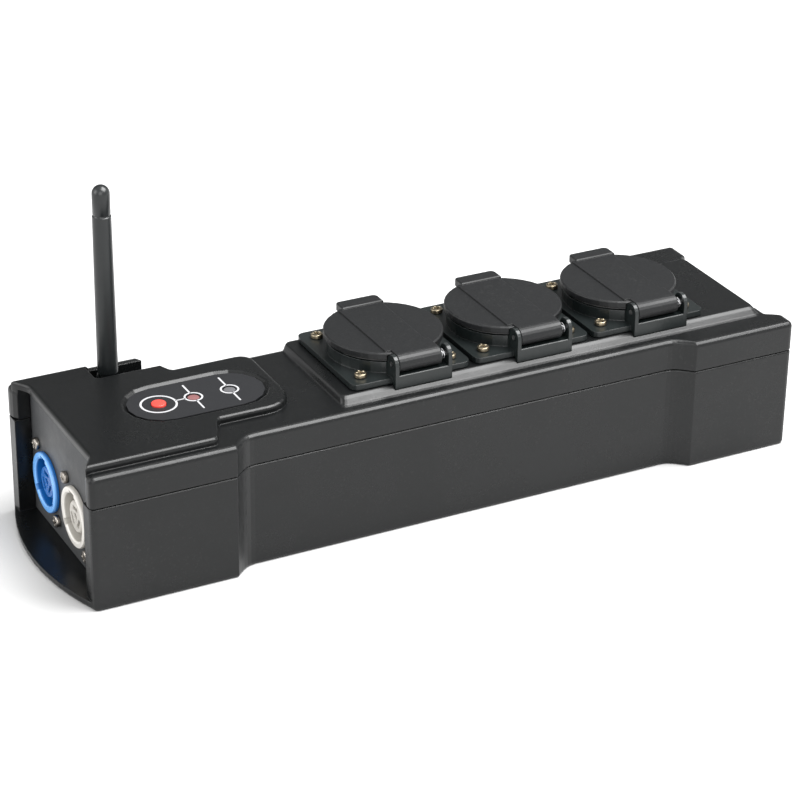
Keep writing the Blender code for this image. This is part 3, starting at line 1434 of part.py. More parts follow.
def make_mains_cable():
    """One sheathed cable from the grey connector's back to the ends of the bars."""
    start, stop = PORT_BACK + GAP, BAR_START - GAP
    low = PORT_Z - CABLE_DROP
    bar_y, bar_z = OUTLET_CY - BAR_SIDE, BAR_Z + BAR_THICK / 2
    b = CABLE_BEND
    route = [(start, OUTPUT_CY, PORT_Z), (start + b / 2, OUTPUT_CY, PORT_Z),
             (start + 1.5 * b, OUTPUT_CY, PORT_Z),
             (SUPPLY_XS[0] - b, CABLE_CY + 0.75 * b, (PORT_Z + low) / 2),
             (SUPPLY_XS[0] + b, CABLE_CY, low), (stop - 3 * b, CABLE_CY, low),
             (stop - b, bar_y, bar_z), (stop - b / 2, bar_y, bar_z), (stop, bar_y, bar_z)]
    tube("mains_cable", [smooth_route(route, b)], CABLE_R, CABLE)


# Aerial
def knee_bore(bm):
    add_cylinder(bm, AERIAL_CX, KNEE_Z, KNEE_PIN_R + GAP, AERIAL_CY - 2 * PAST, AERIAL_CY + 2 * PAST,
                 "Y", 8)


def make_jack():
    """The jack through the channel's floor, with its nut under it."""
    nut = COVER_Z - GAP
    top = CHANNEL_Z + GAP + BASE_THICK / 2
    low = CHANNEL_Z - JACK_DEEP
    profile = [(JACK_BORE, low), (JACK_R, low + GAP), (JACK_R, nut - JACK_NUT),
               (JACK_NUT_R, nut - JACK_NUT + 0.0001), (JACK_NUT_R, nut), (JACK_R, nut + 0.0001),
               (JACK_R, top)]
    solid("aerial_jack", lambda bm: add_turned(bm, profile, AERIAL_CX, AERIAL_CY, "Z", 12), BRASS)


def make_aerial_base():
    """The aerial's foot: a disc on the jack with two cheeks round the knee."""
    base = CHANNEL_Z + GAP
    cheek = BASE_R - GAP

    def cheeks(bm):
        outline = [(AERIAL_CX + KNEE_R, base + SINK)] + arc(
            AERIAL_CX, KNEE_Z, KNEE_R, 0, 180, 8) + [(AERIAL_CX - KNEE_R, base + SINK)]
        add_prism(bm, outline, AERIAL_CY - cheek, AERIAL_CY + cheek, "Y")

    def knee_slot(bm):
        half = TONGUE_HALF + GAP
        add_box(bm, (AERIAL_CX - 2 * PAST, AERIAL_CX + 2 * PAST), (AERIAL_CY - half, AERIAL_CY + half),
                (base + BASE_THICK - 0.0002, KNEE_Z + 2 * PAST))

    def socket(bm):
        add_cylinder(bm, AERIAL_CX, AERIAL_CY, JACK_R + GAP, base - PAST, base + BASE_THICK / 2 + GAP,
                     count=12)
    knee = solid("aerial_base", lambda bm: add_cylinder(
        bm, AERIAL_CX, AERIAL_CY, BASE_R, base, base + BASE_THICK, count=16), WHIP)
    fuse(knee, cheeks, "cheeks")
    cut(knee, knee_slot, "slot")
    cut(knee, knee_bore, "bore")
    cut(knee, socket, "socket")
    solid("aerial_pin", lambda bm: add_cylinder(
        bm, AERIAL_CX, KNEE_Z, KNEE_PIN_R, AERIAL_CY - cheek + GAP, AERIAL_CY + cheek - GAP, "Y", 8), STEEL)


def whip_profile():
    """(radius, height) pairs up the whip: a slow taper, a fine groove and a round tip."""
    start = KNEE_Z + KNEE_R + GAP
    groove = AERIAL_TOP - AERIAL_GROOVE
    g = GROOVE_DEEP
    low_r, tip = AERIAL_LOW_R, AERIAL_TIP_R
    profile = [(low_r - g, start), (low_r, start + g), (tip + g, groove - 3 * g),
               (tip - g, groove - 2 * g), (tip - g, groove), (tip, groove + g)]
    for i in range(5):
        angle = math.pi / 2 * i / 5
        profile.append((tip * math.cos(angle), AERIAL_TOP - tip + tip * math.sin(angle)))
    return profile


def make_whip():
    """The aerial's whip, on a tongue between the foot's cheeks."""
    whip = solid("aerial_whip", lambda bm: add_turned(
        bm, whip_profile(), AERIAL_CX, AERIAL_CY, "Z", 16), WHIP)

    def tongue(bm):
        r = KNEE_R - GAP
        top = KNEE_Z + KNEE_R + SINK
        outline = arc(AERIAL_CX, KNEE_Z, r, 180, 360, 8) + [(AERIAL_CX + r, top), (AERIAL_CX - r, top)]
        add_prism(bm, outline, AERIAL_CY - TONGUE_HALF, AERIAL_CY + TONGUE_HALF, "Y")
    fuse(whip, tongue, "tongue")
    cut(whip, knee_bore, "bore")
    set_origin(whip, (AERIAL_CX, AERIAL_CY, KNEE_Z))


def make_aerial_lead():
    """A thin coaxial lead from the jack down and across to the radio module."""
    x, y, z = radio_box()
    s = LEAD_STEP
    end_x, under = x[0] + 2 * s, sum(z) / 2
    foot = CHANNEL_Z - JACK_DEEP - GAP
    route = [(AERIAL_CX, AERIAL_CY, foot), (AERIAL_CX, AERIAL_CY, foot - s),
             (AERIAL_CX - s / 2, AERIAL_CY - 2.5 * s, foot - 1.5 * s),
             (AERIAL_CX - s / 2, AERIAL_CY - 5.5 * s, foot - s),
             (end_x - 2 * s, y[1] + 1.2 * s, under - s / 2), (end_x, y[1] + s, under),
             (end_x, y[1] + GAP, under)]
    tube("aerial_lead", [smooth_route(route, s)], LEAD_R, CABLE)


make_lower_housing()
make_top_cover()
make_connector_panel()
for port_name, port_y, port_look in near_ports():
    make_port(port_name, port_y, port_look)
make_dmx_panel()
make_dmx_output()
make_overlay()
make_button()
make_lenses()
make_receiver_board()
make_supply_board()
for number, outlet_x in enumerate(OUTLET_XS, start=1):
    make_outlet(number, outlet_x)
    make_lid(number, outlet_x)
    make_lid_seal(number, outlet_x)
    make_hinge_pin(number, outlet_x)
    make_lid_spring(number, outlet_x)
make_earth_bar()
make_bars()
make_mains_cable()
make_screws()
make_jack()
make_aerial_base()
make_whip()
make_aerial_lead()
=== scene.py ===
# %% [markdown]
# A wireless DMX receiver: a long black plastic case that stands on a table, with three
# lidded mains outlets, a small aerial and a row of controls on top, and two round power
# connectors in an open bay at its near end. The solids come from the engineering model.
# This lesson dresses them: it gives each one its finish and adds the fine pieces.

# %% Load the frame
import math

import bmesh
import bpy
import numpy as np
from mathutils import Euler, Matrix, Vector


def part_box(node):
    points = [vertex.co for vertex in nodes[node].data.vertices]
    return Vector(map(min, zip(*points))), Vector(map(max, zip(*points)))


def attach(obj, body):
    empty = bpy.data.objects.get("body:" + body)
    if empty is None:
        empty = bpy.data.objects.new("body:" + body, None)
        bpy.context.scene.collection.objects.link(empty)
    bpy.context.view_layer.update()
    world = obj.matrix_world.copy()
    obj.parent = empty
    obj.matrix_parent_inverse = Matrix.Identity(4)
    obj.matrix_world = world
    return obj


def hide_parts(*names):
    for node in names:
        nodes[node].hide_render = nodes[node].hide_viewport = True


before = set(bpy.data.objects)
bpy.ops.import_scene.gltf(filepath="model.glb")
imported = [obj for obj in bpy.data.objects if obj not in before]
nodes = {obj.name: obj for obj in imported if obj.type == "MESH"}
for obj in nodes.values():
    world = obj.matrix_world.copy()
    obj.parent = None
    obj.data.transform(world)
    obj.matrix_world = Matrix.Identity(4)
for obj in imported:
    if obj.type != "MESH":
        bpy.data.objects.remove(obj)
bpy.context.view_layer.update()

print("pieces of the frame:", len(nodes))

# %% [markdown]
# Every new piece below is a surface on a grid: one direction runs along a profile and
# the other runs round the shape. Blender's own primitives could make
# such pieces too, but each would need many edits after it. Here the whole grid is
# worked out as one numpy array and handed to the mesh in one go, so there is no loop
# over points. Caps close the ends, and the faces are turned outwards once at the end.


# %% Grid surfaces
SMOOTH_UP_TO = 40        # degrees between two faces that are still shaded as one surface
CUT_SMOOTH_UP_TO = 35    # the same after a cut, so that the cut edges stay crisp
AT_AXIS = 0.00002        # radius in metres that closes a turned shape at its axis


def grid_faces(rows, cols):
    """Quads between neighbours i, i+1 along the grid and j, j+1 round it, as one array."""
    i, j = np.meshgrid(np.arange(rows - 1), np.arange(cols), indexing="ij")
    k = (j + 1) % cols
    quads = [i * cols + j, i * cols + k, (i + 1) * cols + k, (i + 1) * cols + j]
    return np.stack(quads, axis=-1).reshape(-1, 4)


def capped_faces(rows, cols):
    """The quads of a grid and one cap at either end."""
    first_cap = list(range(cols - 1, -1, -1))
    last_cap = list(range((rows - 1) * cols, rows * cols))
    return grid_faces(rows, cols).tolist() + [first_cap, last_cap]


def new_mesh(name, points, faces):
    """A mesh of closed shells, with every face turned outwards."""
    mesh = bpy.data.meshes.new(name)
    mesh.from_pydata(np.concatenate(points).tolist(), [], faces)
    bm = bmesh.new()
    bm.from_mesh(mesh)
    bmesh.ops.recalc_face_normals(bm, faces=bm.faces[:])
    bm.to_mesh(mesh)
    bm.free()
    return mesh


def new_object(name, data):
    """An object in the scene from a mesh, light or camera."""
    item = bpy.data.objects.new(name, data)
    bpy.context.scene.collection.objects.link(item)
    return item


def make_piece(name, grids, look, body, slot, *stands_for):
    """One mesh from closed-round grids, each capped at both ends."""
    points, faces, start = [], [], 0
    for grid in grids:
        rows, cols = grid.shape[:2]
        points.append(grid.reshape(-1, 3))
        faces += [[start + corner for corner in face] for face in capped_faces(rows, cols)]
        start += rows * cols
    mesh = new_mesh(name, points, faces)
    mesh.shade_smooth()
    mesh.set_sharp_from_angle(angle=math.radians(SMOOTH_UP_TO))
    return declare(new_object(name, mesh), look, body, slot, *stands_for)


def declare(piece, look, body, slot, *stands_for):
    """Gives a piece its finish and says what it rides on and which solids it stands for."""
    piece.data.materials.append(look)
    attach(piece, body)
    if stands_for:
        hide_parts(*stands_for)
    print(piece.name, "faces:", len(piece.data.polygons))
    return piece


def middle_of(node):
    """The middle of a solid's box."""
    low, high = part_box(node)
    return (low.x + high.x) / 2, (low.y + high.y) / 2, (low.z + high.z) / 2


# %% Turned shapes
AXES = {"X": ((0, 1, 0), (0, 0, 1), (1, 0, 0)), "Y": ((0, 0, 1), (1, 0, 0), (0, 1, 0)),
        "Z": ((1, 0, 0), (0, 1, 0), (0, 0, 1))}


def revolve(profile, centre, axis="Z", count=48):
    """Turns (radius, along) pairs about an axis.

    Point = centre + along times the axis + radius times (cos u, sin u) across it.
    """
    side_a, side_b, axis_way = (np.array(v, float) for v in AXES[axis])
    radius, along = np.array(profile, float).T
    u = np.linspace(0.0, 2 * math.pi, count, endpoint=False)
    ring = np.cos(u)[:, None] * side_a + np.sin(u)[:, None] * side_b
    return (np.array(centre, float) + radius[:, None, None] * ring
            + along[:, None, None] * axis_way)


def rounded(radius_in, along_in, corner, count=4):
    """(radius, along) pairs of a quarter round about a centre, from outermost to topmost."""
    turn = np.radians(np.linspace(0, 90, count + 1))
    pairs = zip(np.cos(turn), np.sin(turn))
    return [(radius_in + corner * c, along_in + corner * s) for c, s in pairs]


print("a ring of", len(revolve([(1, 0)], (0, 0, 0))[0]), "points")

# %% [markdown]
# Black moulded plastic is never one flat black. The mould leaves a fine grain that breaks
# up highlights, hands leave soft patches that are a little smoother, and dust leaves a
# few pale specks. Painted images could show all this, but they would need a UV map on
# every piece. Noise in Object coordinates needs none. Several materials share these
# effects, so each is a node group with named sockets, built once.


# %% Shared effects
GRAIN_SCALE = 2200.0       # noise cells in a metre, for all the scales here
PATCH_SCALE = 28.0
STREAK_SCALE = 260.0
SPECK_SCALE = 900.0
SPECK_PATCH_SCALE = 35.0


def new_group(name, inputs, outputs):
    """A shader node group with float inputs (name, value) and float outputs."""
    group = bpy.data.node_groups.new(name, "ShaderNodeTree")
    for label, value in inputs:
        made = group.interface.new_socket(label, in_out="INPUT", socket_type="NodeSocketFloat")
        made.default_value = value
    for label in outputs:
        group.interface.new_socket(label, in_out="OUTPUT", socket_type="NodeSocketFloat")
    return group, group.nodes.new("NodeGroupInput"), group.nodes.new("NodeGroupOutput")


def noise_in(group, coords, detail, rough):
    """A noise texture on Object coordinates inside a group."""
    noise = group.nodes.new("ShaderNodeTexNoise")
    noise.inputs["Detail"].default_value = detail
    noise.inputs["Roughness"].default_value = rough
    group.links.new(coords.outputs["Object"], noise.inputs["Vector"])
    return noise


def span_in(group, source, low, high, to_low, to_high):
    """Stretches a value from one range to another and clamps it."""
    span = group.nodes.new("ShaderNodeMapRange")
    ends = (("From Min", low), ("From Max", high), ("To Min", to_low), ("To Max", to_high))
    for label, value in ends:
        span.inputs[label].default_value = value
    group.links.new(source, span.inputs["Value"])
    return span.outputs["Result"]


def mould_grain():
    """Height of a fine pebbled grain: cells softened by noise."""
    group, given, out = new_group("mould_grain", [("Scale", GRAIN_SCALE)], ["Height"])
    coords = group.nodes.new("ShaderNodeTexCoord")
    fine = noise_in(group, coords, 2.0, 0.6)
    cells = group.nodes.new("ShaderNodeTexVoronoi")
    group.links.new(coords.outputs["Object"], cells.inputs["Vector"])
    group.links.new(given.outputs["Scale"], fine.inputs["Scale"])
    group.links.new(given.outputs["Scale"], cells.inputs["Scale"])
    add = group.nodes.new("ShaderNodeMath")
    add.operation = "MULTIPLY_ADD"
    group.links.new(cells.outputs["Distance"], add.inputs[0])
    add.inputs[1].default_value = 0.5
    group.links.new(fine.outputs["Fac"], add.inputs[2])
    group.links.new(add.outputs[0], out.inputs["Height"])
    return group


def handling():
    """A mask of soft smoother patches, centimetres wide, with finer rubbed streaks in them."""
    group, given, out = new_group("handling", [("Scale", PATCH_SCALE)], ["Mask"])
    coords = group.nodes.new("ShaderNodeTexCoord")
    broad = noise_in(group, coords, 3.0, 0.55)
    group.links.new(given.outputs["Scale"], broad.inputs["Scale"])
    rub = noise_in(group, coords, 4.0, 0.7)
    rub.inputs["Scale"].default_value = STREAK_SCALE
    mean = group.nodes.new("ShaderNodeMath")
    mean.operation = "MULTIPLY_ADD"
    group.links.new(rub.outputs["Fac"], mean.inputs[0])
    mean.inputs[1].default_value = 0.35
    group.links.new(broad.outputs["Fac"], mean.inputs[2])
    group.links.new(span_in(group, mean.outputs[0], 0.50, 0.85, 0.0, 1.0), out.inputs["Mask"])
    return group


def dust():
    """A mask of fine specks: the peaks of a fine noise, thinned by a broad one."""
    group, given, out = new_group("dust", [("Amount", 1.0)], ["Mask"])
    coords = group.nodes.new("ShaderNodeTexCoord")
    specks = noise_in(group, coords, 1.0, 0.5)
    specks.inputs["Scale"].default_value = SPECK_SCALE
    broad = noise_in(group, coords, 2.0, 0.5)
    broad.inputs["Scale"].default_value = SPECK_PATCH_SCALE
    few = span_in(group, specks.outputs["Fac"], 0.60, 0.72, 0.0, 1.0)
    thin = span_in(group, broad.outputs["Fac"], 0.40, 0.65, 0.3, 1.0)
    both = group.nodes.new("ShaderNodeMath")
    both.operation = "MULTIPLY"
    group.links.new(few, both.inputs[0])
    group.links.new(thin, both.inputs[1])
    strong = group.nodes.new("ShaderNodeMath")
    strong.operation = "MULTIPLY"
    group.links.new(both.outputs[0], strong.inputs[0])
    group.links.new(given.outputs["Amount"], strong.inputs[1])
    group.links.new(strong.outputs[0], out.inputs["Mask"])
    return group


GRAIN, HANDLING, DUST = mould_grain(), handling(), dust()
print("effects:", GRAIN.name, HANDLING.name, DUST.name)

# %% [markdown]
# One function lays the effects into a material. It mixes two colours by the handling
# mask, adds dust, varies the roughness between two values and puts the grain into a
# Bump node. Each material could be wired by hand, but then a change of one effect would
# be made twenty times. A Bevel node softens the plain solids' sharp edges in the light
# alone, because the mould rounds them by less than a millimetre.


# %% Finishes
DUST_COLOUR = (0.30, 0.30, 0.29)


def place_group(tree, group, **values):
    """A copy of an effect in a material, with its own values."""
    node = tree.nodes.new("ShaderNodeGroup")
    node.node_tree = group
    for label, value in values.items():
        node.inputs[label].default_value = value
    return node


def mix_colour(tree, mask, first, second):
    """Colour between two, by a mask; each may be a colour or a socket."""
    mix = tree.nodes.new("ShaderNodeMix")
    mix.data_type = "RGBA"
    tree.links.new(mask, mix.inputs[0])
    for socket, given in ((mix.inputs[6], first), (mix.inputs[7], second)):
        if isinstance(given, tuple):
            socket.default_value = (*given, 1.0)
        else:
            tree.links.new(given, socket)
    return mix.outputs[2]


def finish(name, colour, worn, rough, grain=GRAIN_SCALE, depth=0.02, metal=0.0, dusty=0.0,
           soft=0.0, gloss=0.5):
    """A finish from two colours, a roughness range and the shared effects.

    Colour = mix(colour, worn, handling); roughness = range by handling; normal = grain.
    The grain's depth is in millimetres and the soft edge's radius in metres.
    """
    made = bpy.data.materials.new(name)
    made.use_nodes = True
    tree = made.node_tree
    shader = tree.nodes["Principled BSDF"]
    shader.inputs["Metallic"].default_value = metal
    shader.inputs["Specular IOR Level"].default_value = gloss
    touched = place_group(tree, HANDLING)
    paint = mix_colour(tree, touched.outputs["Mask"], colour, worn)
    if dusty:
        specks = place_group(tree, DUST, Amount=dusty)
        paint = mix_colour(tree, specks.outputs["Mask"], paint, DUST_COLOUR)
    tree.links.new(paint, shader.inputs["Base Color"])
    span = tree.nodes.new("ShaderNodeMapRange")
    span.inputs["To Min"].default_value = rough[1]
    span.inputs["To Max"].default_value = rough[0]
    tree.links.new(touched.outputs["Mask"], span.inputs["Value"])
    tree.links.new(span.outputs["Result"], shader.inputs["Roughness"])
    pebbles = place_group(tree, GRAIN, Scale=grain)
    bump = tree.nodes.new("ShaderNodeBump")
    bump.inputs["Strength"].default_value = 1.0
    bump.inputs["Distance"].default_value = depth * 0.001
    tree.links.new(pebbles.outputs["Height"], bump.inputs["Height"])
    if soft:
        edge = tree.nodes.new("ShaderNodeBevel")
        edge.samples = 6
        edge.inputs["Radius"].default_value = soft
        tree.links.new(edge.outputs["Normal"], bump.inputs["Normal"])
    tree.links.new(bump.outputs["Normal"], shader.inputs["Normal"])
    return made


CASE = finish("case_plastic", (0.0022, 0.0026, 0.0028), (0.0042, 0.0047, 0.0049), (0.24, 0.34),
              dusty=0.02, soft=0.0006, gloss=0.36)
LID = finish("lid_plastic", (0.0045, 0.0049, 0.0054), (0.0070, 0.0075, 0.0080), (0.38, 0.50),
             grain=1500.0, depth=0.03, dusty=0.03, soft=0.0004, gloss=0.34)
SOCKET = finish("socket_plastic", (0.0045, 0.0070, 0.0070), (0.0075, 0.0100, 0.0100), (0.28, 0.40),
                soft=0.0004)
WHIP = finish("aerial_rubber", (0.0050, 0.0065, 0.0070), (0.0080, 0.0095, 0.0100), (0.26, 0.38),
              depth=0.01)
FILM = finish("overlay_film", (0.0090, 0.0095, 0.0110), (0.0120, 0.0125, 0.0140), (0.32, 0.40),
              grain=3000.0, depth=0.008)
INK = finish("white_ink", (0.40, 0.40, 0.41), (0.34, 0.34, 0.35), (0.45, 0.55), depth=0.005)
PANEL = finish("panel_paint", (0.040, 0.042, 0.044), (0.060, 0.062, 0.064), (0.42, 0.60), grain=1300.0,
               depth=0.05, metal=0.15)
print("first finishes:", CASE.name, LID.name)

# %% [markdown]
# The power connectors are glossy nylon: the inlet a clear blue and the outlet a warm
# white. The smaller finishes follow: red button, red and grey lamps, bare and plated
# metals, the boards' green lacquer, rubber, and the cables' dull skins. A table then
# gives each solid its finish by its name, so that every new solid of a kind gets the
# same one. A list of all 60 would do as well, but it would be long and easy to break.


# %% Smaller finishes
BLUE = finish("blue_nylon", (0.13, 0.35, 0.74), (0.15, 0.39, 0.79), (0.22, 0.34), depth=0.004)
PALE = finish("pale_nylon", (0.62, 0.60, 0.56), (0.67, 0.65, 0.61), (0.25, 0.36), depth=0.004)
RED = finish("red_button", (0.62, 0.045, 0.032), (0.68, 0.06, 0.045), (0.28, 0.40), depth=0.006)
LENS_RED = finish("lamp_red", (0.17, 0.075, 0.075), (0.20, 0.09, 0.09), (0.10, 0.18), depth=0.002)
LENS_GREY = finish("lamp_grey", (0.085, 0.085, 0.09), (0.11, 0.11, 0.115), (0.10, 0.18), depth=0.002)
NICKEL = finish("nickel_plate", (0.27, 0.25, 0.22), (0.36, 0.33, 0.30), (0.20, 0.36), grain=900.0,
                depth=0.008, metal=1.0)
DULL = finish("dull_nickel", (0.20, 0.17, 0.12), (0.28, 0.24, 0.17), (0.26, 0.42), grain=900.0,
              depth=0.008, metal=1.0)
BRASS = finish("brass", (0.70, 0.53, 0.25), (0.60, 0.43, 0.20), (0.22, 0.40), depth=0.008, metal=1.0)
COPPER = finish("copper", (0.75, 0.42, 0.27), (0.62, 0.33, 0.20), (0.25, 0.42), depth=0.008, metal=1.0)
STEEL = finish("spring_steel", (0.50, 0.50, 0.51), (0.42, 0.42, 0.43), (0.24, 0.38), depth=0.006, metal=1.0)
SHIELD = finish("shield_tin", (0.60, 0.60, 0.61), (0.52, 0.52, 0.53), (0.26, 0.40), depth=0.01, metal=1.0)
LACQUER = finish("board_lacquer", (0.020, 0.150, 0.060), (0.025, 0.180, 0.075), (0.28, 0.42), grain=700.0,
                 depth=0.03)
RUBBER = finish("seal_rubber", (0.035, 0.035, 0.036), (0.050, 0.050, 0.050), (0.62, 0.78), grain=1200.0,
                depth=0.03)
TAPE = finish("transformer_tape", (0.72, 0.58, 0.18), (0.64, 0.50, 0.15), (0.38, 0.52), grain=500.0,
              depth=0.02)
SKIN = finish("cable_skin", (0.025, 0.025, 0.026), (0.040, 0.040, 0.040), (0.50, 0.66), grain=1200.0,
              depth=0.02)

BY_NODE = {"power_inlet": BLUE, "power_outlet": PALE, "control_overlay": FILM, "aerial_jack": BRASS,
           "lamp_lens_1": LENS_RED, "lamp_lens_2": LENS_GREY, "supply_transformer": TAPE,
           "radio_module": SHIELD, "earth_bar": NICKEL, "function_button": RED, "dmx_latch": STEEL,
           "dmx_output": SOCKET}
BY_START = (("lid_seal", RUBBER), ("lid_spring", STEEL), ("hinge_pin", STEEL), ("lid_", LID),
            ("outlet_screw", NICKEL), ("outlet_", SOCKET), ("case_screw", NICKEL),
            ("connector_screw", NICKEL), ("connector_panel", PANEL), ("dmx_panel", PANEL),
            ("line_bar", COPPER), ("neutral_bar", COPPER), ("mains_cable", SKIN),
            ("aerial_lead", SKIN), ("aerial_pin", STEEL), ("aerial_", WHIP), ("receiver_board", LACQUER),
            ("supply_board", LACQUER))


def finish_of(name):
    """The finish of a solid of the frame, by its name; the case's plastic is the rest."""
    if name in BY_NODE:
        return BY_NODE[name]
    return next((look for start, look in BY_START if name.startswith(start)), CASE)


for name, item in nodes.items():
    for place in item.material_slots:
        place.material = finish_of(name)
print("solids with a finish:", len(nodes))

# %% [markdown]
# The screws have flat round heads with a cross recess. The cross could be cut with a
# Boolean, but a real driver recess tapers down, so here it is a smooth dip in the head's
# surface: the grid's height is a low dome minus a depth wherever the point is near one
# of the two arms. The dip fades out toward the arms' ends, as the stamped cross does.


# %% Screws
HEAD, SHANK_R = 0.0017, 0.0015              # the head's height and the shank's radius
DOME, CROSS_DEEP = 0.00030, 0.0009          # fall of the head's face and depth of the cross
ARM_HALF, ARM_REACH = 0.00028, 0.72         # half width of an arm, and its share of the radius


def screw_grid(corners, axis, out):
    """A whole screw between two corners of its box, from its head's middle to its tip's.

    Head height = dome(r) - depth * arm(x, y), where arm is 1 on either bar of the cross.
    """
    low, high = (np.array(p, float) for p in corners)
    side_a, side_b, way = (np.array(v, float) for v in AXES[axis])
    way = way * out
    middle = (low + high) / 2
    k = int(np.argmax(np.abs(way)))
    top_at, tip_at = (high[k], low[k]) if out > 0 else (low[k], high[k])
    head_r = (high - low)[(k + 1) % 3] / 2
    u = np.linspace(0.0, 2 * math.pi, 64, endpoint=False)
    radius = np.concatenate([np.linspace(AT_AXIS, 0.86 * head_r, 16), [0.95 * head_r, head_r, head_r]])
    dome = DOME * (radius / head_r) ** 2
    dome[-3:] = [1.5 * DOME, 0.00080, HEAD]
    x, y = radius[:, None] * np.cos(u), radius[:, None] * np.sin(u)
    narrow, long = np.minimum(np.abs(x), np.abs(y)), np.maximum(np.abs(x), np.abs(y))
    arm = np.clip(1.6 - narrow / ARM_HALF, 0, 1) * np.clip((ARM_REACH * head_r - long) / 0.0004, 0, 1)
    drop = dome[:, None] + CROSS_DEEP * arm
    rest_r = np.array([SHANK_R, SHANK_R, 0.5 * SHANK_R, AT_AXIS])
    length = abs(top_at - tip_at)
    rest = np.array([HEAD, length - 0.0006, length, length])
    radius = np.concatenate([radius, rest_r])
    drop = np.concatenate([drop, np.repeat(rest[:, None], len(u), axis=1)])
    centre = middle.copy()
    centre[k] = top_at
    ring = np.cos(u)[:, None] * side_a + np.sin(u)[:, None] * side_b
    return centre + radius[:, None, None] * ring - drop[:, :, None] * way


for kind, axis, out, look in (("outlet_screw", "Z", 1, DULL), ("case_screw", "Z", -1, NICKEL),
                              ("connector_screw", "X", -1, NICKEL)):
    places = sorted(n for n in nodes if n.startswith(kind))
    screws = [screw_grid(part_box(n), axis, out) for n in places]
    make_piece(kind + "_set", screws, look, "case", "nickel", *places)

# %% [markdown]
# The aerial is a rubber-covered whip that tapers slowly to a round tip, with a fine
# groove where the tip cap is pushed on. A tapered cylinder with a ball on it would show
# a seam, so the whip is one turned surface: the taper is a straight line of radii, and
# the tip a quarter circle. It turns about the knee's middle.


# %% Aerial
FOOT = 0.0041                            # height of the whip's lower end above the knee
WHIP_R, NECK_R, TIP_R = 0.0040, 0.0032, 0.0034
TAPER = 0.0004                           # how much the radius shrinks up to the groove
CAP_LONG = 0.0115                        # the tip cap's length above the groove

low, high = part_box("aerial_whip")
knee = middle_of("aerial_pin")
top = high.z - knee[2]
groove = top - CAP_LONG
profile = [(AT_AXIS, FOOT), (WHIP_R - 0.0004, FOOT), (WHIP_R - 0.0001, FOOT + 0.0002),
           (WHIP_R, FOOT + 0.0006)]
profile += [(WHIP_R - TAPER * t, FOOT + 0.0006 + (groove - FOOT - 0.0014) * t)
            for t in np.linspace(0.1, 1.0, 10)]
profile += [(TIP_R, groove - 0.0006), (NECK_R, groove - 0.0003), (NECK_R, groove),
            (TIP_R, groove + 0.0003)]
profile += rounded(0.0, top - TIP_R, TIP_R, 10)[:-1] + [(AT_AXIS, top)]
make_piece("aerial_whip_fine", [revolve(profile, knee, "Z", 56)], WHIP, "aerial_body", "aerial_rubber",
           "aerial_whip")

# %% [markdown]
# Some pieces need holes or slots across their own direction, which a grid can't have.
# Modelling their faces by hand would be slow, so they are cut with exact Booleans, one
# closed cutter at a time. Each result is kept as a plain mesh, so no modifier is left.
# The first cut piece is the whip's flat tongue, which sits in the fork of the foot: an
# outline with a round lower end, carried across its thickness, with a bore for the pin.


# %% Cutting
def extrude(outline, low, high):
    """A flat outline in X and Z carried from low to high along Y."""
    x, z = np.array(outline, float).T
    return np.stack([np.column_stack([x, np.full(len(x), y), z]) for y in (low, high)])


def carve(piece, grids):
    """Takes closed grids out of a piece and keeps the result as its plain mesh."""
    for grid in grids:
        faces = capped_faces(*grid.shape[:2])
        cutter = new_object("cutter", new_mesh("cutter", [grid.reshape(-1, 3)], faces))
        step = piece.modifiers.new("notch", "BOOLEAN")
        step.object, step.solver, step.operation = cutter, "EXACT", "DIFFERENCE"
        bpy.context.view_layer.update()
        done = piece.evaluated_get(bpy.context.evaluated_depsgraph_get())
        fresh = bpy.data.meshes.new_from_object(done)
        piece.modifiers.clear()
        piece.data = fresh
        bpy.data.objects.remove(cutter, do_unlink=True)
    piece.data.set_sharp_from_angle(angle=math.radians(CUT_SMOOTH_UP_TO))
    print(piece.name, "after cutting:", len(piece.data.polygons))


TONGUE_HALF = 0.0013                     # half the tongue's thickness
TONGUE_IN = 0.0005                       # how far it reaches up into the whip
PIN_PLAY = 0.0003                        # gap round the knee's pin

turn = np.radians(np.linspace(180, 360, 25))
tongue_r = knee[2] - low.z
tongue_top = knee[2] + FOOT + TONGUE_IN
tongue = [(knee[0] + tongue_r * c, knee[2] + tongue_r * s) for c, s in zip(np.cos(turn), np.sin(turn))]
tongue += [(knee[0] + tongue_r, tongue_top), (knee[0] - tongue_r, tongue_top)]
blade = make_piece("aerial_tongue", [extrude(tongue, knee[1] - TONGUE_HALF, knee[1] + TONGUE_HALF)],
                   WHIP, "aerial_body", "aerial_rubber")
pin_low, pin_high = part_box("aerial_pin")
bore_r = (pin_high.x - pin_low.x) / 2 + PIN_PLAY
carve(blade, [revolve([(bore_r, -0.01), (bore_r, 0.01)], knee, "Y", 24)])

# %% [markdown]
# Both power connectors are turned nylon pieces: a front ring with a soft edge, a deep
# round well, and a core in the well with a hole in its middle. They differ only in
# colour, so one function makes both. Rings and tubes could be stacked instead, but one
# profile leaves no gaps between them. The plug's cams lock in three notches of the
# ring, and the blades go into three slots of the core, all cut as shown above. The
# parts behind the ring are darker in colour, because light fades in the deep well.


# %% Power connectors
RING_R, BODY_R, WELL_R, CORE_R = 0.0119, 0.0112, 0.0093, 0.0062
SEAT = 0.0017                            # thickness of the front ring
SOFT = 0.0006                            # round of the ring's outer edge
WELL_DEEP, PIT = 0.0125, 0.0110          # depths of the well and of the hole in the core
CORE_BACK = 0.0018                       # how far the core's edge lies behind the ring's face
SHADE_FROM, SHADE_TO = 0.0004, 0.0012      # depths between which the painted shade of the well sets in
NOTCHES = ((90, 0.0106, 0.0024), (215, 0.0104, 0.0012), (325, 0.0104, 0.0012))   # degrees, far, half
SLOTS = (90, 210, 330)                   # degrees


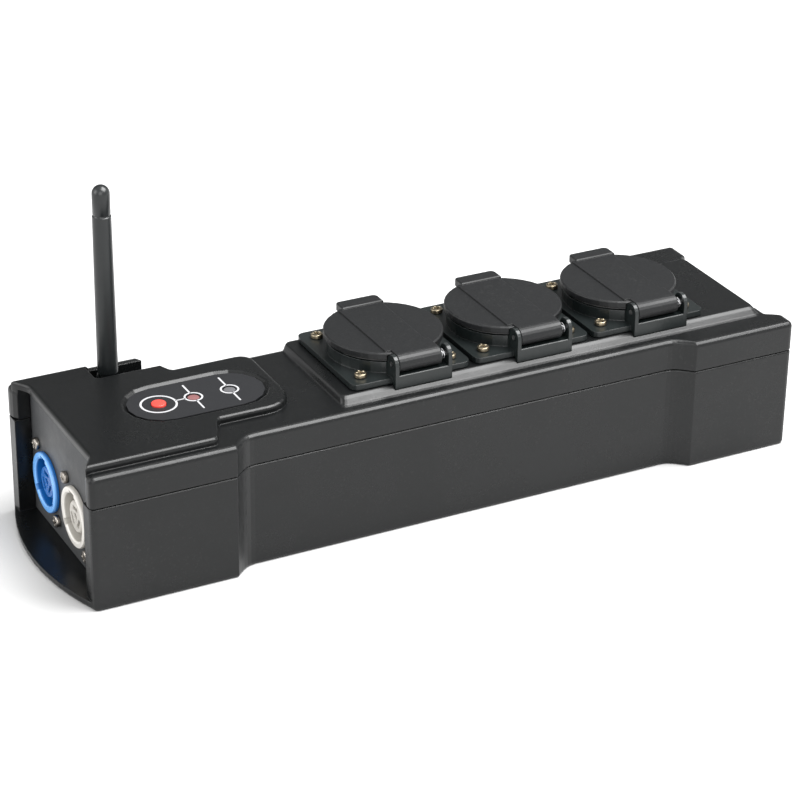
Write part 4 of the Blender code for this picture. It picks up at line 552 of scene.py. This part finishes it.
def bar(near_face, depth, centre, degrees, near, far, half):
    """A cutter into a connector's face that points away from its middle at an angle."""
    c, s = math.cos(math.radians(degrees)), math.sin(math.radians(degrees))
    spots = ((near, -half), (far, -half), (far, half), (near, half))
    corners = np.array([(centre[1] + r * c - t * s, centre[2] + r * s + t * c) for r, t in spots])
    return np.stack([np.column_stack([np.full(len(corners), x), corners])
                     for x in (near_face - 0.002, near_face + depth)])


def paint_well_shade(look, node, shade_colour):
    """Paints shade into a finish: a darker colour behind a connector's front ring, where light fades in the
    deep well.

    Mask = (x - SHADE_FROM) / (SHADE_TO - SHADE_FROM), with x the depth behind the ring's face.
    """
    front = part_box(node)[0].x
    tree = look.node_tree
    shader = tree.nodes["Principled BSDF"]
    spot = tree.nodes.new("ShaderNodeTexCoord")
    parts = tree.nodes.new("ShaderNodeSeparateXYZ")
    tree.links.new(spot.outputs["Object"], parts.inputs[0])
    span = tree.nodes.new("ShaderNodeMapRange")
    span.inputs["From Min"].default_value = front + SHADE_FROM
    span.inputs["From Max"].default_value = front + SHADE_TO
    tree.links.new(parts.outputs["X"], span.inputs["Value"])
    # painted shade: the finish's own colour is mixed toward the darker one with depth
    outer = shader.inputs["Base Color"].links[0].from_socket
    tree.links.new(mix_colour(tree, span.outputs["Result"], outer, shade_colour), shader.inputs["Base Color"])
    print(look.name, "is darker behind x =", round(front + SHADE_FROM, 4))


def connector(node, look, slot):
    """A power connector in the place of a solid, its face towards the open bay."""
    low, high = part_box(node)
    centre = (low.x, *middle_of(node)[1:])
    deep = high.x - low.x
    profile = [(AT_AXIS, deep), (BODY_R, deep), (BODY_R, SEAT), (RING_R, SEAT)]
    profile += [(RING_R, SOFT)] + rounded(RING_R - SOFT, SOFT, SOFT)[1:0:-1]
    profile += [(RING_R - 0.0003, 0.00012), (RING_R - 0.0008, 0.0), (WELL_R + 0.0005, 0.0),
                (WELL_R, 0.0005)]
    profile += [(WELL_R, WELL_DEEP), (CORE_R, WELL_DEEP), (CORE_R, CORE_BACK),
                (CORE_R - 0.0004, 0.0013)]
    profile += [(0.0017, 0.0012), (0.0014, 0.0016), (0.0012, PIT), (AT_AXIS, PIT)]
    piece = make_piece(node + "_fine", [revolve(profile, centre, "X", 72)], look, "case", slot, node)
    notches = [bar(low.x, 0.0090, centre, a, 0.0085, far, half) for a, far, half in NOTCHES]
    slots = [bar(low.x, 0.0100, centre, a, 0.00265, 0.00415, 0.0023) for a in SLOTS]
    carve(piece, notches + slots)


# Painted shade: behind each ring the colour turns darker, because light fades in the deep well.
paint_well_shade(BLUE, "power_inlet", (0.008, 0.110, 0.38))
paint_well_shade(PALE, "power_outlet", (0.47, 0.45, 0.41))
connector("power_inlet", BLUE, "blue_plastic")
connector("power_outlet", PALE, "pale_plastic")

# %% [markdown]
# The controls sit on a dark printed film: a red push button inside a white ring, two
# lamps in smaller rings, a line that joins them and short ticks that point to their
# labels. Screen ink stands a few hundredths of a millimetre proud. A mask in the film's
# material could draw the marks too, but thin solids keep their edges sharp at any
# distance. A line is an outline carried up, and a ring a small profile turned about
# its middle.


# %% Printed marks
INK_HIGH = 0.00005                       # the ink's thickness
INK_SUNK = 0.00001                       # how far the ink's foot lies in the film
LAMP_RING, BUTTON_RING = 0.00365, 0.0071     # outer radii of the rings
RING_WIDE, TICK_WIDE, LINE_WIDE = 0.0008, 0.0007, 0.0006
TICK_FROM, TICK_DOWN, TICK_UP = 0.0034, 0.0098, 0.0102   # ends of the ticks, from a lamp's middle


def ink_ring(centre, outer, wide):
    """A flat ring: a square profile turned about the vertical."""
    profile = [(outer - wide, 0.0), (outer, 0.0), (outer, INK_HIGH), (outer - wide, INK_HIGH)]
    return revolve(profile, centre, "Z", 64)


def ink_line(start, stop, wide, z):
    """A flat bar between two points with round ends, as an outline carried up."""
    start, stop = np.array(start, float), np.array(stop, float)
    along = (stop - start) / np.linalg.norm(stop - start)
    side = np.array([-along[1], along[0]])
    u = np.linspace(-math.pi / 2, math.pi / 2, 9)
    cap = np.cos(u)[:, None] * along + np.sin(u)[:, None] * side
    flat = np.concatenate([stop + cap * wide / 2, start - cap * wide / 2])
    levels = [np.column_stack([flat, np.full(len(flat), at)]) for at in (z, z + INK_HIGH)]
    return np.stack(levels)


ink_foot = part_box("control_overlay")[1].z - INK_SUNK
button, lamp_1, lamp_2 = (np.array([*middle_of(node)[:2], ink_foot])
                          for node in ("function_button", "lamp_lens_1", "lamp_lens_2"))
marks = [ink_line(button[:2] + (0.0069, 0), lamp_1[:2] - (TICK_FROM, 0), LINE_WIDE, ink_foot)]
for lamp in (lamp_1, lamp_2):
    for up, reach in ((-1, TICK_DOWN), (1, TICK_UP)):
        start, stop = lamp[:2] + (0, up * TICK_FROM), lamp[:2] + (0, up * reach)
        marks.append(ink_line(start, stop, TICK_WIDE, ink_foot))
make_piece("ink_lines", marks, INK, "case", "pale_plastic")


# %% Rings of ink
def make_rings(name, rings, look, slot):
    """Rings that close on themselves: the grid wraps along the profile too, with no caps."""
    points, faces, start = [], [], 0
    for ring in rings:
        rows, cols = ring.shape[:2]
        quads = grid_faces(rows + 1, cols) % (rows * cols)
        points.append(ring.reshape(-1, 3))
        faces += (quads + start).tolist()
        start += rows * cols
    declare(new_object(name, new_mesh(name, points, faces)), look, "case", slot)


make_rings("ink_rings", [ink_ring(button, BUTTON_RING, RING_WIDE), ink_ring(lamp_1, LAMP_RING, TICK_WIDE),
                         ink_ring(lamp_2, LAMP_RING, TICK_WIDE)], INK, "pale_plastic")

# %% [markdown]
# The button's cap is slightly domed and has a soft edge, and each lamp ends in a small
# domed lens. A bevel on the plain peg would round the edge but leave the top flat, so
# all three are turned from one profile. The button keeps its solid's collar below the
# cover, so it still runs in its hole.


# %% Button and lenses
DOME_RISE = 0.0002                       # how much higher a dome's middle is than its edge
CAP_R, CAP_EDGE, COLLAR_HIGH = 0.0028, 0.0004, 0.0011
LENS_R, LENS_EDGE = 0.0023, 0.0002


def turned_cap(node, rise, edge, wide, collar=0.0):
    """A round peg with a domed top: its height falls off with the radius squared."""
    low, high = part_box(node)
    centre = (*middle_of(node)[:2], 0.0)
    foot_r = (high.x - low.x) / 2
    profile = [(AT_AXIS, low.z), (foot_r if collar else wide, low.z)]
    if collar:
        profile += [(foot_r, low.z + collar), (wide, low.z + collar + 0.0001)]
    edge_z = high.z - rise - edge
    profile += [(wide, edge_z)]
    profile += [(wide - edge + edge * math.cos(a), edge_z + edge * math.sin(a))
                for a in np.linspace(0.3, math.pi / 2, 4)]
    profile += [((wide - edge) * t, high.z - rise * t * t) for t in (0.8, 0.6, 0.4, 0.2)]
    return revolve(profile + [(AT_AXIS, high.z)], centre, "Z", 48)


cap = turned_cap("function_button", DOME_RISE, CAP_EDGE, CAP_R, COLLAR_HIGH)
make_piece("button_cap", [cap], RED, "button_body", "red_plastic", "function_button")
for number, look in ((1, LENS_RED), (2, LENS_GREY)):
    lamp = f"lamp_lens_{number}"
    make_piece(f"lens_{number}", [turned_cap(lamp, DOME_RISE, LENS_EDGE, LENS_R)], look, "case",
               "lamp_lens", lamp)

# %% [markdown]
# At the far end the lighting signal leaves through a round five-hole connector. Its
# contacts are thin tubes that end just inside their holes, and two small screws hold
# its flange. They could be cut into the connector's own face, but as pieces they keep
# their metal finish. Neither has a solid in the frame, so both are added here.

# %% Signal connector
CIRCLE_R = 0.0047                        # radius of the circle that the contacts stand on
TUBE_IN, TUBE_OUT = 0.0006, 0.0010       # radii of a contact
TUBE_BACK, TUBE_FRONT = -0.0115, -0.0012     # its ends, from the connector's face
SCREW_OFF = (0.0095, 0.0120)             # the two screws' places across and up, from the middle
SCREW_R = 0.0026

face_x, mid_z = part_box("dmx_output")[1].x, middle_of("dmx_output")[2]
angles = np.radians(-54 - 72 * np.arange(5) + 180)
tube = [(TUBE_IN, TUBE_BACK), (TUBE_OUT, TUBE_BACK), (TUBE_OUT, TUBE_FRONT - 0.0002),
        (0.0008, TUBE_FRONT), (TUBE_IN, TUBE_FRONT)]
contacts = [revolve(tube, (face_x, CIRCLE_R * math.cos(a), mid_z + CIRCLE_R * math.sin(a)), "X", 20)
            for a in angles]
print("contacts:", len(contacts), "on a ring at height", round(mid_z, 4))
make_rings("signal_contacts", contacts, BRASS, "brass")
spots = ((-SCREW_OFF[0], mid_z + SCREW_OFF[1]), (SCREW_OFF[0], mid_z - SCREW_OFF[1]))
boxes = [((face_x - 0.0090, y - SCREW_R, z - SCREW_R), (face_x + 0.0018, y + SCREW_R, z + SCREW_R))
         for y, z in spots]
make_piece("signal_screw_set", [screw_grid(corners, "X", 1) for corners in boxes], NICKEL, "case", "nickel")

# %% [markdown]
# The camera stands about a metre away, above the near left corner. It could be placed
# by eye, but then every piece would be a little off. Its place, turn and lens were
# worked out from the straight edges of the case, so that the pieces fall where they
# fall in the picture. The frame is square.

# %% Camera
CAMERA_AT = (-0.44434, -0.84915, 0.523724)
CAMERA_TURN = (62.9559, -0.6754, -27.2544)
LENS = 124.015

lens = bpy.data.cameras.new("camera")
lens.sensor_width = 36.0
lens.lens = LENS
lens.clip_start = 0.01
camera = new_object("camera", lens)
camera.location = CAMERA_AT
camera.rotation_euler = Euler([math.radians(a) for a in CAMERA_TURN])
bpy.context.scene.camera = camera
print("lens in mm:", LENS)

# %% [markdown]
# Black plastic is lit by what it mirrors. Its flat top mirrors the room behind it, so a
# dark card stands there, as it does in a photographer's studio. Its round edges mirror
# the ceiling, so a large soft box hangs overhead and draws the bright lines along them.
# A front and a side box fill the walls. A darker plastic could give the same dark top,
# but it would lose its bright edges. The card shows in mirror images alone, so that it
# neither stands in a picture nor shades the floor.


# %% Soft boxes
CENTRE = (0.0, 0.0, 0.04)


def face(item, place):
    """Puts an object at a place and turns its front towards the part."""
    item.location = place
    item.rotation_euler = (Vector(CENTRE) - Vector(place)).to_track_quat("-Z", "Y").to_euler()


def soft_box(name, place, size, power):
    """A square area lamp that faces the part."""
    light = bpy.data.lights.new(name, "AREA")
    light.shape = "RECTANGLE"
    light.size, light.size_y = size
    light.energy = power
    face(new_object(name, light), place)


def sheet(name, half_x, half_y):
    """A flat rectangle about the origin."""
    mesh = bpy.data.meshes.new(name)
    corners = [(-half_x, -half_y, 0), (half_x, -half_y, 0), (half_x, half_y, 0), (-half_x, half_y, 0)]
    mesh.from_pydata(corners, [], [(0, 1, 2, 3)])
    return new_object(name, mesh)


def plain_material(name, grey):
    """A material of one grey, and its shader."""
    made = bpy.data.materials.new(name)
    made.use_nodes = True
    shader = made.node_tree.nodes["Principled BSDF"]
    shader.inputs["Base Color"].default_value = (grey, grey, grey, 1.0)
    return made, shader


soft_box("top_light", (0.45, -0.25, 1.10), (1.0, 0.9), 38.0)
soft_box("front_light", (-0.60, -1.10, 0.60), (0.9, 0.9), 7.0)
soft_box("side_light", (-1.10, 0.20, 0.50), (0.7, 0.7), 6.0)

card = sheet("card", 1.6, 0.75)
face(card, (0.45, 1.20, 0.85))
card.visible_camera = card.visible_diffuse = card.visible_shadow = card.visible_transmission = False
felt, shader = plain_material("card_felt", 0.03)
shader.inputs["Emission Color"].default_value = (1.0, 1.0, 1.0, 1.0)
shader.inputs["Emission Strength"].default_value = 0.16
card.data.materials.append(felt)

# %% [markdown]
# The world is white where the camera sees it, also in a glossy reflection, and a little
# dimmer as a light. One background could not do both: bright enough to look white, it
# would flood the black plastic. The floor is grey paper that the lights make white, so
# it keeps the object's soft shadow.


# %% World and floor
def camera_or_mirror(tree):
    """A value that is 1 for rays that come from the camera, a mirror or glass."""
    path = tree.nodes.new("ShaderNodeLightPath")
    first = tree.nodes.new("ShaderNodeMath")
    first.operation = "MAXIMUM"
    tree.links.new(path.outputs["Is Camera Ray"], first.inputs[0])
    tree.links.new(path.outputs["Is Glossy Ray"], first.inputs[1])
    second = tree.nodes.new("ShaderNodeMath")
    second.operation = "MAXIMUM"
    tree.links.new(first.outputs[0], second.inputs[0])
    tree.links.new(path.outputs["Is Transmission Ray"], second.inputs[1])
    return second.outputs[0]


world = bpy.data.worlds.new("studio")
bpy.context.scene.world = world
world.use_nodes = True
tree = world.node_tree
back = tree.nodes["Background"]
back.inputs["Color"].default_value = (1.0, 1.0, 1.0, 1.0)
back.inputs["Strength"].default_value = 0.85
white = tree.nodes.new("ShaderNodeBackground")
white.inputs["Color"].default_value = (1.0, 1.0, 1.0, 1.0)
white.inputs["Strength"].default_value = 1.0
mix = tree.nodes.new("ShaderNodeMixShader")
tree.links.new(camera_or_mirror(tree), mix.inputs[0])
tree.links.new(back.outputs[0], mix.inputs[1])
tree.links.new(white.outputs[0], mix.inputs[2])
tree.links.new(mix.outputs[0], tree.nodes["World Output"].inputs["Surface"])

floor = sheet("floor", 3.0, 3.0)
paper, shader = plain_material("paper", 0.52)
shader.inputs["Roughness"].default_value = 0.9
floor.data.materials.append(paper)
bpy.context.scene.view_settings.view_transform = "Standard"
print("studio ready")
